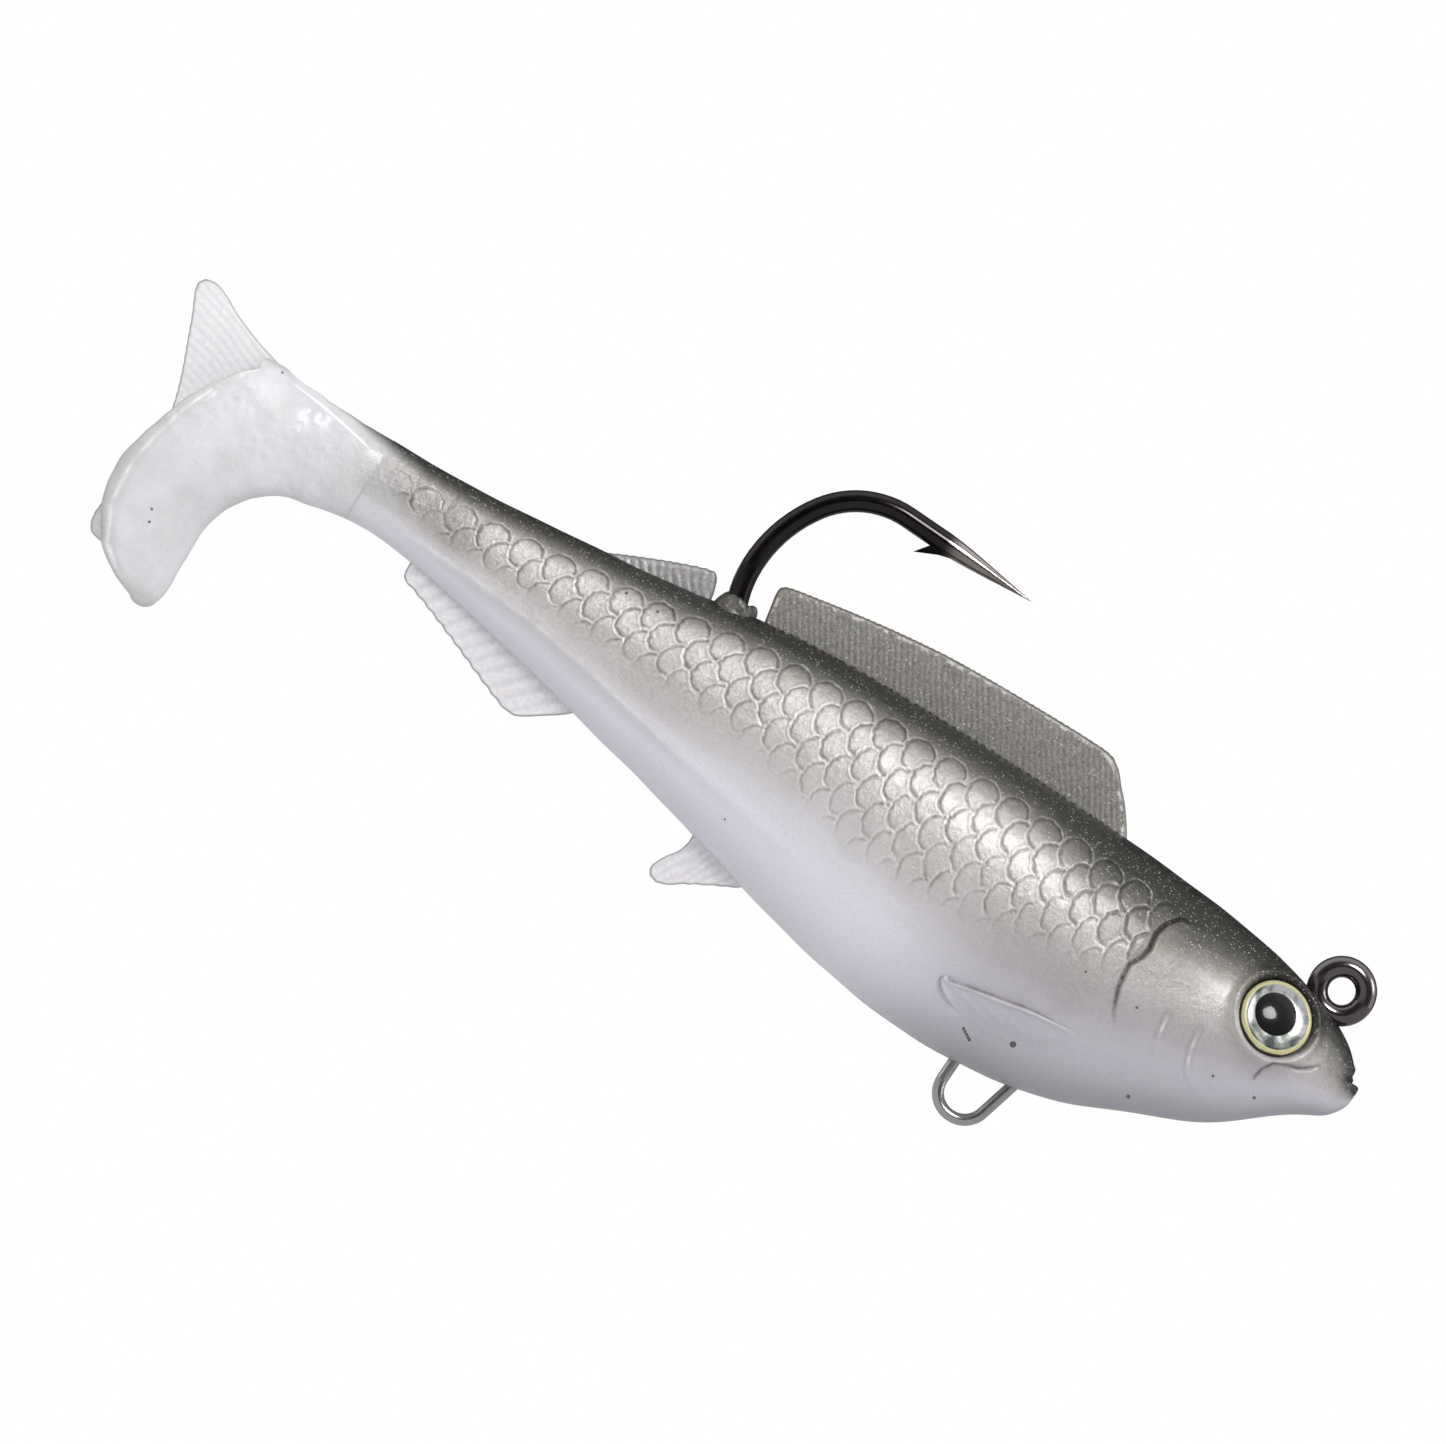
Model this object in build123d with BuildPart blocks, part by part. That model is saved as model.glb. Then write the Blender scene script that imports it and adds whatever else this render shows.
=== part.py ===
"""Soft paddle-tail swimbait, 127 mm long, moulded round a jig hook, a cast weight and a belly wire.

Frame: millimetres, +X towards the nose, +Y to the fish's left, +Z up.
The origin is the centre of the line-tie ring, and the fish is mirrored about the plane Y = 0.

The soft moulding is one piece on the real lure. Here it is cut at its flex lines (front, rear,
stalk and tail) and at the root of each thin fin, so that every part that bends is a part of its own.
"""

import os

from build123d import *

# ---------------------------------------------------------------- driving dimensions
# Hook: one forged wire, with its ring, neck, shank, bend and point
HOOK_WIRE_R = 1.0
RING_R = 2.2  # wire centreline
RING_LAND_R = 1.25  # coined land inside the ring, where a snap or split ring runs
NECK_TOP = (-1.56, -1.56)  # on the ring's centreline, towards the shank
SHANK_Z = -6.1
NECK_BEND_R = 5.0
BEND_REAR = (-65.3, 4.4)  # rearmost point of the bend's centreline
BEND_SIDE_R, BEND_SIDE_TURN = 13.0, 35.6
BEND_TOP_R, BEND_TOP_TURN = 8.45, 56.8
SPEAR_LENGTH = 4.1  # straight wire between the bend and the start of the point
POINT_TAPER = ((0.0, 1.0), (2.6, 0.82), (5.2, 0.52), (7.6, 0.22), (9.3, 0.03))  # (along, radius)
BARB = ((-52.3, 14.9), (-49.6, 14.6), (-51.6, 14.05), (-53.7, 13.1))
BARB_THICKNESS = 0.7

# Belly wire: a U whose legs are cast into the weight
BELLY_WIRE_R = 0.55
BELLY_WIRE_CORNERS = ((-25.8, -12.0), (-26.4, -28.15), (-22.1, -28.15), (-17.5, -12.0))
BELLY_WIRE_BEND_R = 2.35

# Cast weight: an egg-shaped slug round the shank, with small flats at its ends
WEIGHT_X, WEIGHT_Z = -24.0, -9.2
WEIGHT_HALF_LENGTH, WEIGHT_R = 13.4, 5.8
WEIGHT_LENGTH = 26.0

# Moulded body, nose to stalk: x, top, bottom, half width, height of the widest line
BODY_STATIONS = (
    (5.7, -6.7, -8.9, 1.1, -7.8),
    (4.6, -5.2, -10.3, 2.5, -8.3),
    (2.5, -3.4, -11.6, 3.9, -8.8),
    (-1.0, -1.8, -13.9, 5.3, -9.2),
    (-5.0, -0.7, -16.9, 6.4, -9.5),
    (-10.0, 0.2, -19.2, 7.2, -9.6),
    (-16.0, 0.8, -21.8, 7.9, -9.7),
    (-23.0, 1.4, -23.5, 8.3, -9.8),
    (-31.0, 1.6, -24.1, 8.4, -9.8),
    (-40.0, 1.7, -23.2, 8.1, -9.6),
    (-50.0, 1.6, -20.8, 7.3, -9.3),
    (-60.0, 0.9, -18.2, 6.2, -8.9),
    (-70.0, -0.8, -15.9, 5.0, -8.9),
    (-80.0, -2.1, -13.8, 3.9, -8.8),
    (-90.0, -3.0, -11.9, 2.9, -8.1),
    (-97.0, -3.1, -11.3, 2.3, -7.6),
    (-104.5, -3.1, -13.3, 2.0, -8.2),
)

# Flex lines: where the soft body bends about an upright axis, and how far to each side
FRONT_REAR_X, FRONT_REAR_DEG = -69.5, 12.0
REAR_STALK_X, REAR_STALK_DEG = -93.5, 25.0
STALK_TAIL_X, STALK_TAIL_DEG = -103.5, 40.0
FLEX_GAP = 0.3
FLEX_SPARE_DEG = 2.0

# Thin fins, all in the plane Y = 0, each with a straight root a little clear of the body
FIN_THICKNESS = 0.9
FIN_CORNER_R = 0.4
FIN_EDGE_R = 0.25
DORSAL_OUTLINE = (
    (-24.0, 2.2),
    (-26.2, 5.2),
    (-28.5, 7.0),
    (-34.6, 7.2),
    (-44.6, 6.9),
    (-54.5, 5.7),
    (-62.1, 4.1),
    (-62.0, 1.85),
)
REAR_DORSAL_OUTLINE = ((-67.2, 0.15), (-68.2, 2.0), (-71.4, 0.95), (-76.6, -1.2))
ANAL_OUTLINE = (
    (-72.4, -15.9),
    (-76.4, -18.5),
    (-79.4, -17.7),
    (-84.3, -15.7),
    (-91.4, -13.2),
    (-91.4, -12.25),
)
PELVIC_OUTLINE = (
    (-56.9, -19.55),
    (-57.2, -20.9),
    (-58.7, -23.3),
    (-57.5, -24.4),
    (-55.0, -23.0),
    (-50.9, -21.05),
)
CAUDAL_OUTLINE = (
    (-110.0, -3.4),
    (-116.2, -1.15),
    (-119.7, 0.45),
    (-121.1, -0.7),
    (-119.1, -5.5),
    (-116.6, -12.2),
    (-118.0, -22.1),
    (-116.5, -24.7),
    (-110.0, -26.0),
)

# Tail paddle: side outline, rear outline (two half ellipses) and plan, cupped towards the rear
PADDLE_ROOT = (-103.5, -3.1)
PADDLE_UNDERSIDE = ((-103.5, -12.9), (-106.2, -14.7), (-108.2, -17.0), (-108.8, -19.6), (-108.9, -25.0))
PADDLE_REAR_EDGE = (
    (-110.3, -27.7),
    (-114.2, -26.4),
    (-117.7, -22.6),
    (-118.5, -17.7),
    (-117.2, -11.2),
    (-114.2, -4.9),
    (-111.2, -3.0),
)
PADDLE_HALF_WIDTH = 9.0
PADDLE_WIDEST_Z = -16.0
PADDLE_TOP_Z, PADDLE_BOTTOM_Z = -2.6, -28.0
WING_FRONT = ((-103.5, 2.0), (-107.5, 2.3), (-111.0, 4.2), (-115.0, 7.3), (-119.5, 9.4))
WING_BACK = ((-119.5, 7.0), (-115.5, 4.7), (-113.0, 2.2), (-112.2, 0.0))

# Pectoral fins: thin raised pads on the flanks
PECTORAL_PROUD = 0.5
PECTORAL_OUTLINE = (
    (-31.5, -17.9),
    (-25.0, -16.2),
    (-19.0, -15.8),
    (-21.5, -19.2),
    (-27.0, -21.0),
    (-30.6, -19.8),
)

# Eyes: a foil disc and a printed pupil under a clear dome, in a shallow pocket
EYE_X, EYE_Y, EYE_Z = -3.7, 4.75, -5.3
EYE_FORWARD, EYE_UP = 0.2, 0.42  # how far the eye looks forward and up, per unit sideways
EYE_POCKET_R, EYE_POCKET_DEPTH = 3.6, 3.0
FOIL_R, FOIL_THICKNESS = 3.5, 0.25
PUPIL_R, PUPIL_THICKNESS = 2.0, 0.08
LENS_HEIGHT = 1.35

# Collar of soft plastic that grips the hook where it leaves the back
COLLAR_X, COLLAR_R = -64.5, 1.75
COLLAR_BOTTOM_Z, COLLAR_TOP_Z = -1.0, 1.2

FAR = 60.0  # longer than any cut needs
SIDES = (("left", 1), ("right", -1))
UPRIGHT = (Align.CENTER, Align.CENTER, Align.MIN)


# ---------------------------------------------------------------- shared shapes
def body_solid(grow=0.0):
    """The moulded body from nose to stalk, with each section larger by grow all round."""
    with BuildPart() as body:
        for x, top, bottom, half_width, widest in BODY_STATIONS:
            with BuildSketch(Plane.YZ.offset(x)):
                with BuildLine():
                    EllipticalCenterArc((0, widest), half_width + grow, top - widest + grow, 0, arc_size=180)
                    EllipticalCenterArc((0, widest), half_width + grow, widest - bottom + grow, 180, arc_size=180)
                make_face()
        loft()
    return body.part


def behind_notch(pivot_x, flex_deg):
    """Everything behind a V with its apex just ahead of the flex line, open enough for the bend."""
    with BuildPart() as behind:
        with BuildSketch(Plane.XY):
            with BuildLine():
                left = PolarLine((pivot_x + FLEX_GAP, 0), FAR, 90 - flex_deg - FLEX_SPARE_DEG)
                right = PolarLine((pivot_x + FLEX_GAP, 0), FAR, flex_deg + FLEX_SPARE_DEG - 90)
                Polyline(left @ 1, (pivot_x - FAR, FAR), (pivot_x - FAR, -FAR), right @ 1)
            make_face()
        extrude(amount=FAR, both=True)
    return behind.part


def fin_plate(outline):
    """A flat plate in the plane Y = 0 with softened edges."""
    with BuildPart() as fin:
        with BuildSketch(Plane.XZ):
            with BuildLine():
                Polyline(*outline, close=True)
            make_face()
            fillet(vertices(), radius=FIN_CORNER_R)
        extrude(amount=FIN_THICKNESS / 2, both=True)
        fillet(faces().filter_by(Axis.Y).edges(), radius=FIN_EDGE_R)
    return fin.part


def eye_plane(side):
    """The pocket floor of one eye: side is 1 on the fish's left and -1 on its right."""
    origin = (EYE_X, side * EYE_Y, EYE_Z)
    return Plane(origin=origin, x_dir=(1, -side * EYE_FORWARD, 0), z_dir=(EYE_FORWARD, side, EYE_UP))


whole_body = body_solid()

# ---------------------------------------------------------------- hook
with BuildPart() as jig_hook:
    with BuildLine(Plane.XZ) as wire_line:
        lower_r = BEND_REAR[1] - SHANK_Z
        neck = FilletPolyline(NECK_TOP, (SHANK_Z, SHANK_Z), (BEND_REAR[0] / 2, SHANK_Z), radius=NECK_BEND_R)
        shank = Line(neck @ 1, (BEND_REAR[0] + lower_r, SHANK_Z))
        lower_bend = JernArc(shank @ 1, shank % 1, lower_r, -90)
        side_bend = JernArc(lower_bend @ 1, lower_bend % 1, BEND_SIDE_R, -BEND_SIDE_TURN)
        top_bend = JernArc(side_bend @ 1, side_bend % 1, BEND_TOP_R, -BEND_TOP_TURN)
        spear = PolarLine(top_bend @ 1, SPEAR_LENGTH, direction=top_bend % 1)
    with BuildSketch(Plane(origin=neck @ 0, z_dir=neck % 0)):
        Circle(HOOK_WIRE_R)
    sweep(path=wire_line.wire())
    for along, radius in POINT_TAPER:
        with BuildSketch(Plane(origin=spear @ 1 + along * (spear % 1), z_dir=spear % 1)):
            Circle(radius)
    loft()
    with BuildSketch(Plane.XZ):
        with BuildLine():
            Polyline(*BARB, close=True)
        make_face()
    extrude(amount=BARB_THICKNESS / 2, both=True)
    Torus(RING_R, HOOK_WIRE_R, rotation=(90, 0, 0))
    Cylinder(RING_LAND_R, 2 * HOOK_WIRE_R, rotation=(90, 0, 0), mode=Mode.SUBTRACT)

# ---------------------------------------------------------------- belly wire and weight
with BuildPart() as belly_hanger:
    with BuildLine(Plane.XZ) as hanger_line:
        FilletPolyline(*BELLY_WIRE_CORNERS, radius=BELLY_WIRE_BEND_R)
    with BuildSketch(Plane(origin=hanger_line.wire() @ 0, z_dir=hanger_line.wire() % 0)):
        Circle(BELLY_WIRE_R)
    sweep(path=hanger_line.wire())

with BuildPart() as lead_weight:
    with BuildSketch(Plane.XY.offset(WEIGHT_Z)):
        with Locations((WEIGHT_X, 0)):
            Ellipse(WEIGHT_HALF_LENGTH, WEIGHT_R)
        with Locations((WEIGHT_X, 0)):
            Rectangle(WEIGHT_LENGTH, WEIGHT_R, align=(Align.CENTER, Align.MIN), mode=Mode.INTERSECT)
    revolve(axis=Axis((WEIGHT_X, 0, WEIGHT_Z), (1, 0, 0)))
    add(jig_hook.part, mode=Mode.SUBTRACT)
    add(belly_hanger.part, mode=Mode.SUBTRACT)

# ---------------------------------------------------------------- eyes
pockets, foils, pupils, lenses = {}, {}, {}, {}
dome_r = (FOIL_R**2 + LENS_HEIGHT**2) / (2 * LENS_HEIGHT)
for name, side in SIDES:
    with BuildPart() as pocket:
        with Locations(eye_plane(side)):
            Cylinder(EYE_POCKET_R, EYE_POCKET_DEPTH, align=UPRIGHT)
    with BuildPart() as foil:
        with Locations(eye_plane(side)):
            Cylinder(FOIL_R, FOIL_THICKNESS, align=UPRIGHT)
    with BuildPart() as pupil:
        with Locations(eye_plane(side).offset(FOIL_THICKNESS)):
            Cylinder(PUPIL_R, PUPIL_THICKNESS, align=UPRIGHT)
    with BuildPart() as lens:
        with Locations(eye_plane(side).offset(FOIL_THICKNESS)):
            Cylinder(FOIL_R, LENS_HEIGHT, align=UPRIGHT)
        with Locations(eye_plane(side).offset(FOIL_THICKNESS + LENS_HEIGHT - dome_r)):
            Sphere(dome_r, mode=Mode.INTERSECT)
        add(pupil.part, mode=Mode.SUBTRACT)
    pockets[name] = pocket.part
    foils[name] = foil.part
    pupils[name] = pupil.part
    lenses[name] = lens.part

# ---------------------------------------------------------------- soft body
with BuildPart() as fore_body:
    add(whole_body)
    add(behind_notch(FRONT_REAR_X, FRONT_REAR_DEG), mode=Mode.SUBTRACT)
    for inner in (*pockets.values(), jig_hook.part, lead_weight.part, belly_hanger.part):
        add(inner, mode=Mode.SUBTRACT)

with BuildPart() as rear_body:
    add(whole_body)
    split(bisect_by=Plane.YZ.offset(FRONT_REAR_X), keep=Keep.BOTTOM)
    add(behind_notch(REAR_STALK_X, REAR_STALK_DEG), mode=Mode.SUBTRACT)

with BuildPart() as tail_stalk:
    add(whole_body)
    split(bisect_by=Plane.YZ.offset(REAR_STALK_X), keep=Keep.BOTTOM)
    add(behind_notch(STALK_TAIL_X, STALK_TAIL_DEG), mode=Mode.SUBTRACT)

# ---------------------------------------------------------------- tail
with BuildPart() as tail_paddle:
    with BuildSketch(Plane.XZ):
        with BuildLine():
            underside = Spline(*PADDLE_UNDERSIDE)
            rear_edge = Spline(*PADDLE_REAR_EDGE)
            Line(underside @ 1, rear_edge @ 0)
            Polyline(rear_edge @ 1, PADDLE_ROOT, underside @ 0)
        make_face()
    extrude(amount=FAR, both=True)
    with BuildSketch(Plane.XY):
        with BuildLine():
            front_line = Spline(*WING_FRONT)
            back_line = Spline(*WING_BACK, tangents=((1, -0.5), (0, -1)))
            Line(front_line @ 1, back_line @ 0)
            Polyline(back_line @ 1, (WING_FRONT[0][0], 0), front_line @ 0)
        make_face()
        mirror(about=Plane.XZ)
    extrude(amount=FAR, both=True, mode=Mode.INTERSECT)
    with BuildSketch(Plane.YZ):
        with BuildLine():
            for edge_z, start in ((PADDLE_TOP_Z, 0), (PADDLE_BOTTOM_Z, 180)):
                EllipticalCenterArc(
                    (0, PADDLE_WIDEST_Z), PADDLE_HALF_WIDTH, abs(edge_z - PADDLE_WIDEST_Z), start, arc_size=180
                )
        make_face()
    extrude(amount=3 * FAR, both=True, mode=Mode.INTERSECT)

# ---------------------------------------------------------------- fins
with BuildPart() as caudal_fin:
    add(fin_plate(CAUDAL_OUTLINE))
    add(tail_paddle.part, mode=Mode.SUBTRACT)

dorsal_fin = fin_plate(DORSAL_OUTLINE)
rear_dorsal_fin = fin_plate(REAR_DORSAL_OUTLINE)
anal_fin = fin_plate(ANAL_OUTLINE)
pelvic_fin = fin_plate(PELVIC_OUTLINE)

pectorals = {}
for name, side in SIDES:
    with BuildPart() as pectoral:
        with BuildSketch(Plane.XZ):
            with BuildLine():
                Polyline(*PECTORAL_OUTLINE, close=True)
            make_face()
        extrude(amount=-side * FAR)
        add(body_solid(PECTORAL_PROUD), mode=Mode.INTERSECT)
        add(whole_body, mode=Mode.SUBTRACT)
    pectorals[name] = pectoral.part

# ---------------------------------------------------------------- collar
with BuildPart() as hook_collar:
    with Locations((COLLAR_X, 0, COLLAR_BOTTOM_Z)):
        Cylinder(COLLAR_R, COLLAR_TOP_Z - COLLAR_BOTTOM_Z, align=UPRIGHT)
    add(whole_body, mode=Mode.SUBTRACT)
    add(jig_hook.part, mode=Mode.SUBTRACT)

# ---------------------------------------------------------------- export
parts = {
    "jig_hook": jig_hook.part,
    "lead_weight": lead_weight.part,
    "belly_hanger": belly_hanger.part,
    "fore_body": fore_body.part,
    "rear_body": rear_body.part,
    "tail_stalk": tail_stalk.part,
    "tail_paddle": tail_paddle.part,
    "caudal_fin": caudal_fin.part,
    "dorsal_fin": dorsal_fin,
    "rear_dorsal_fin": rear_dorsal_fin,
    "anal_fin": anal_fin,
    "pelvic_fin": pelvic_fin,
    "hook_collar": hook_collar.part,
}
for name, _ in SIDES:
    parts[name + "_pectoral_fin"] = pectorals[name]
    parts[name + "_eye_foil"] = foils[name]
    parts[name + "_eye_pupil"] = pupils[name]
    parts[name + "_eye_lens"] = lenses[name]

os.makedirs("parts", exist_ok=True)
for node_name, solid in parts.items():
    solid.label = node_name
    export_step(solid, "parts/" + node_name + ".step")
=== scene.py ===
"""Looks for the soft paddle-tail swimbait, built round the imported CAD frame.

Shapes are worked out in millimetres, in the row frame (+X nose, +Y left, +Z up, origin in the line-tie
ring), and written to Blender in metres.
"""

import math

import bmesh
import bpy
import numpy as np
from mathutils import Matrix, Vector


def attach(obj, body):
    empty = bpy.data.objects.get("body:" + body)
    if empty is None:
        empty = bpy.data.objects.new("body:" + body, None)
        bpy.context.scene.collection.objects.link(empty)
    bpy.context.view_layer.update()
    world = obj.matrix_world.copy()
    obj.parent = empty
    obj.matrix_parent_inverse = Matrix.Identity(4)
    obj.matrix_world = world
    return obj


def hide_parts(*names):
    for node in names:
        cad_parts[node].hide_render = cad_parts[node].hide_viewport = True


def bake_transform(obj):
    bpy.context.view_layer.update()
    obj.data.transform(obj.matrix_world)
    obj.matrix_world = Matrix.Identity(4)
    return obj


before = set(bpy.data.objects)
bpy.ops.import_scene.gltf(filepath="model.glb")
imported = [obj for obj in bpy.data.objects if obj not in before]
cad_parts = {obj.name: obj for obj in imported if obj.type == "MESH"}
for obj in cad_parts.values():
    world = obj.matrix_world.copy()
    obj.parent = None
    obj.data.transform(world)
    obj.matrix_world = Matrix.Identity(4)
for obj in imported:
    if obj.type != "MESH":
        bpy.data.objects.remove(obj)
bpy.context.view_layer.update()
MM = 0.001
TURN = 2 * np.pi

# ---------------------------------------------------------------- small maths


def natural_spline(t, y, at):
    """A natural cubic spline through (t, y), evaluated at the given places."""
    h = np.diff(t)
    a = np.zeros((len(t), len(t)))
    b = np.zeros(len(t))
    a[0, 0] = a[-1, -1] = 1.0
    for i in range(1, len(t) - 1):
        a[i, i - 1 : i + 2] = h[i - 1], 2 * (h[i - 1] + h[i]), h[i]
        b[i] = 6 * ((y[i + 1] - y[i]) / h[i] - (y[i] - y[i - 1]) / h[i - 1])
    m = np.linalg.solve(a, b)
    i = np.clip(np.searchsorted(t, at) - 1, 0, len(h) - 1)
    d, e = at - t[i], t[i + 1] - at
    return (
        (m[i] * e**3 + m[i + 1] * d**3) / (6 * h[i])
        + (y[i] / h[i] - m[i] * h[i] / 6) * e
        + (y[i + 1] / h[i] - m[i + 1] * h[i] / 6) * d
    )


def step(edge0, edge1, x):
    """Smooth step from 0 at edge0 to 1 at edge1."""
    t = np.clip((np.asarray(x, float) - edge0) / (edge1 - edge0), 0, 1)
    return t * t * (3 - 2 * t)


def between(x, rise0, rise1, fall0, fall1):
    """Rises smoothly from 0 to 1, and falls back to 0 further on."""
    return step(rise0, rise1, x) * (1 - step(fall0, fall1, x))


def bell(x, middle, width):
    """A smooth bump of height 1."""
    return np.exp(-(((x - middle) / width) ** 2))


def unit(v):
    return v / np.maximum(np.linalg.norm(v, axis=-1, keepdims=True), 1e-9)


def to_line(x, z, points):
    """Distance from (x, z) to a polyline, the share of the way along it, and the side (+ on its left)."""
    best = np.full(np.shape(x), 1e9)
    along = np.zeros(np.shape(x))
    side = np.ones(np.shape(x))
    pts = np.asarray(points, float)
    lengths = np.hypot(*np.diff(pts, axis=0).T)
    start = np.concatenate([[0], np.cumsum(lengths)])
    for (x0, z0), (x1, z1), length, s0 in zip(pts[:-1], pts[1:], lengths, start):
        t = np.clip(((x - x0) * (x1 - x0) + (z - z0) * (z1 - z0)) / length**2, 0, 1)
        d = np.hypot(x - x0 - t * (x1 - x0), z - z0 - t * (z1 - z0))
        near = d < best
        best = np.where(near, d, best)
        along = np.where(near, (s0 + t * length) / start[-1], along)
        side = np.where(near, np.sign((x1 - x0) * (z - z0) - (z1 - z0) * (x - x0)), side)
    return best, along, side


def smooth_noise(x, z, size, seed):
    """Smooth noise of about -1 to 1 from a few seeded sine waves."""
    r = np.random.default_rng(seed)
    total = np.zeros(np.shape(x))
    for _ in range(7):
        angle, phase, k = r.uniform(0, TURN), r.uniform(0, TURN), r.uniform(0.6, 1.7)
        total += np.sin((np.cos(angle) * x + np.sin(angle) * z) * k * TURN / size + phase)
    return total / 4


# ---------------------------------------------------------------- body form
# nose to stalk: x, top, bottom, half width, height of the widest line
STATIONS = np.array([
    (5.95, -7.1, -7.6, 0.2, -7.35),
    (5.8, -6.45, -8.6, 0.85, -7.5),
    (5.3, -5.85, -9.5, 1.5, -7.8),
    (4.7, -5.3, -10.2, 2.15, -8.1),
    (3.9, -4.45, -10.75, 2.85, -8.4),
    (2.5, -3.4, -11.55, 3.75, -8.8),
    (0.5, -2.4, -12.95, 4.65, -9.1),
    (-2.0, -1.5, -15.0, 5.5, -9.3),
    (-5.0, -0.65, -17.0, 6.3, -9.5),
    (-10.0, 0.25, -19.2, 7.15, -9.6),
    (-16.0, 0.9, -21.8, 7.9, -9.7),
    (-23.0, 1.35, -23.45, 8.3, -9.8),
    (-31.0, 1.6, -24.0, 8.4, -9.8),
    (-40.0, 1.7, -23.1, 8.1, -9.6),
    (-50.0, 1.55, -20.9, 7.3, -9.3),
    (-60.0, 0.9, -18.25, 6.2, -8.9),
    (-70.0, -0.7, -15.9, 5.0, -8.9),
    (-80.0, -1.9, -13.75, 3.9, -8.8),
    (-90.0, -2.9, -11.9, 2.9, -8.1),
    (-96.0, -3.15, -11.3, 2.45, -7.6),
    (-100.5, -3.2, -11.8, 2.2, -7.7),
    (-104.5, -3.15, -13.3, 2.1, -8.2),
    (-108.0, -2.95, -15.5, 1.9, -9.0),
    (-111.5, -2.75, -17.0, 1.2, -9.6),
])
CHORDS = np.linalg.norm(np.diff(STATIONS, axis=0) * (1.0, 0.6, 0.6, 0.6, 0.0), axis=1)
STATION_T = np.concatenate([[0], np.cumsum(CHORDS)])
SKIN_STEP = 0.125  # between the rings of the skin
HEAD_CUT, FRONT_CUT, MIDDLE_CUT, REAR_CUT = -24.0, -50.0, -80.0, -98.5  # between skin pieces, off the bends
EYE, EYE_LOOK, EYE_R = (-4.0, 4.75, -5.3), (0.2, 1.0, 0.42), 3.5  # on the left; the right one is mirrored


def stations_at(t):
    """Station values at places along the body, as columns x, top, bottom, half width, widest."""
    return np.stack([natural_spline(STATION_T, STATIONS[:, i], t) for i in range(5)], axis=-1)


def station_by_x(x):
    """Top, bottom, half width and widest height at given x."""
    s = stations_at(np.linspace(0, STATION_T[-1], 1500))
    s = s[np.argsort(s[:, 0])]
    return [np.interp(x, s[:, 0], s[:, i]) for i in range(1, 5)]


def section(x, z):
    """Half width, widest height and half height (above or below the widest line) of the body."""
    top, bottom, half, widest = station_by_x(x)
    return half, widest, np.where(z > widest, top - widest, widest - bottom)


# ---------------------------------------------------------------- colour places
DARK_X = (-102.5, -100, -95, -88, -78, -68, -58, -45, -32, -24, -19, -14, -9, 0, 5)
DARK_DEPTH = (0.2, 0.7, 1.3, 1.6, 1.8, 2.4, 2.8, 2.8, 3.2, 5.0, 5.9, 5.5, 3.8, 2.9, 2.6)


def shades(x, z):
    """Lightness from the dark back down, belly, milky tail and greyer front, as 0 to 1 values."""
    top, bottom, _, _ = station_by_x(x)
    depth = top - z
    tone = np.clip(depth / np.interp(x, DARK_X, DARK_DEPTH) / 2, 0, 1)
    late = 0.35 * np.clip(z + 7, -4, 4) + 0.6 * smooth_noise(x, z, 5.0, 8)
    late += 3.5 * np.exp(-np.clip(depth, 0, 9) / 0.5)  # the dark runs out last along the back line
    return {
        "tone": np.minimum(tone, np.interp(x, (-90.0, -80.0), (0.66, 1.0))),
        "belly": np.clip(depth / (top - bottom) - 0.12 * step(-50.0, -72.0, x), 0, 1),
        "tail": step(-93.0, -102.5, x + late),
        "front": step(-42.0, -24.0, x),
    }


# ---------------------------------------------------------------- scales
PITCH = 3.3  # along the body; alternate rows are shifted by half of it
ROW_X = (-100.0, -88.0, -78.0, -40.0, -20.0)
ROW_SPACING = (1.45, 1.5, 1.57, 1.86, 1.88)  # over the surface
FIRST_ROW = (4.2, 4.45, 4.9, 7.5, 7.7)  # from the back line, over the surface
LAST_ROW_X = (-100.0, -92.0, -78.0, -60.0, -46.0, -34.0, -24.0, -18.0)
LAST_ROW = (0.2, 0.7, 1.5, 3.1, 5.0, 5.0, 3.6, 2.8)
SCALE_RX, SCALE_RV = 1.5, 0.93  # in mm along the body, in rows across it
ROW_SHIFT = (-0.6, 1.05)  # of the even and odd rows, along the body


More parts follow.
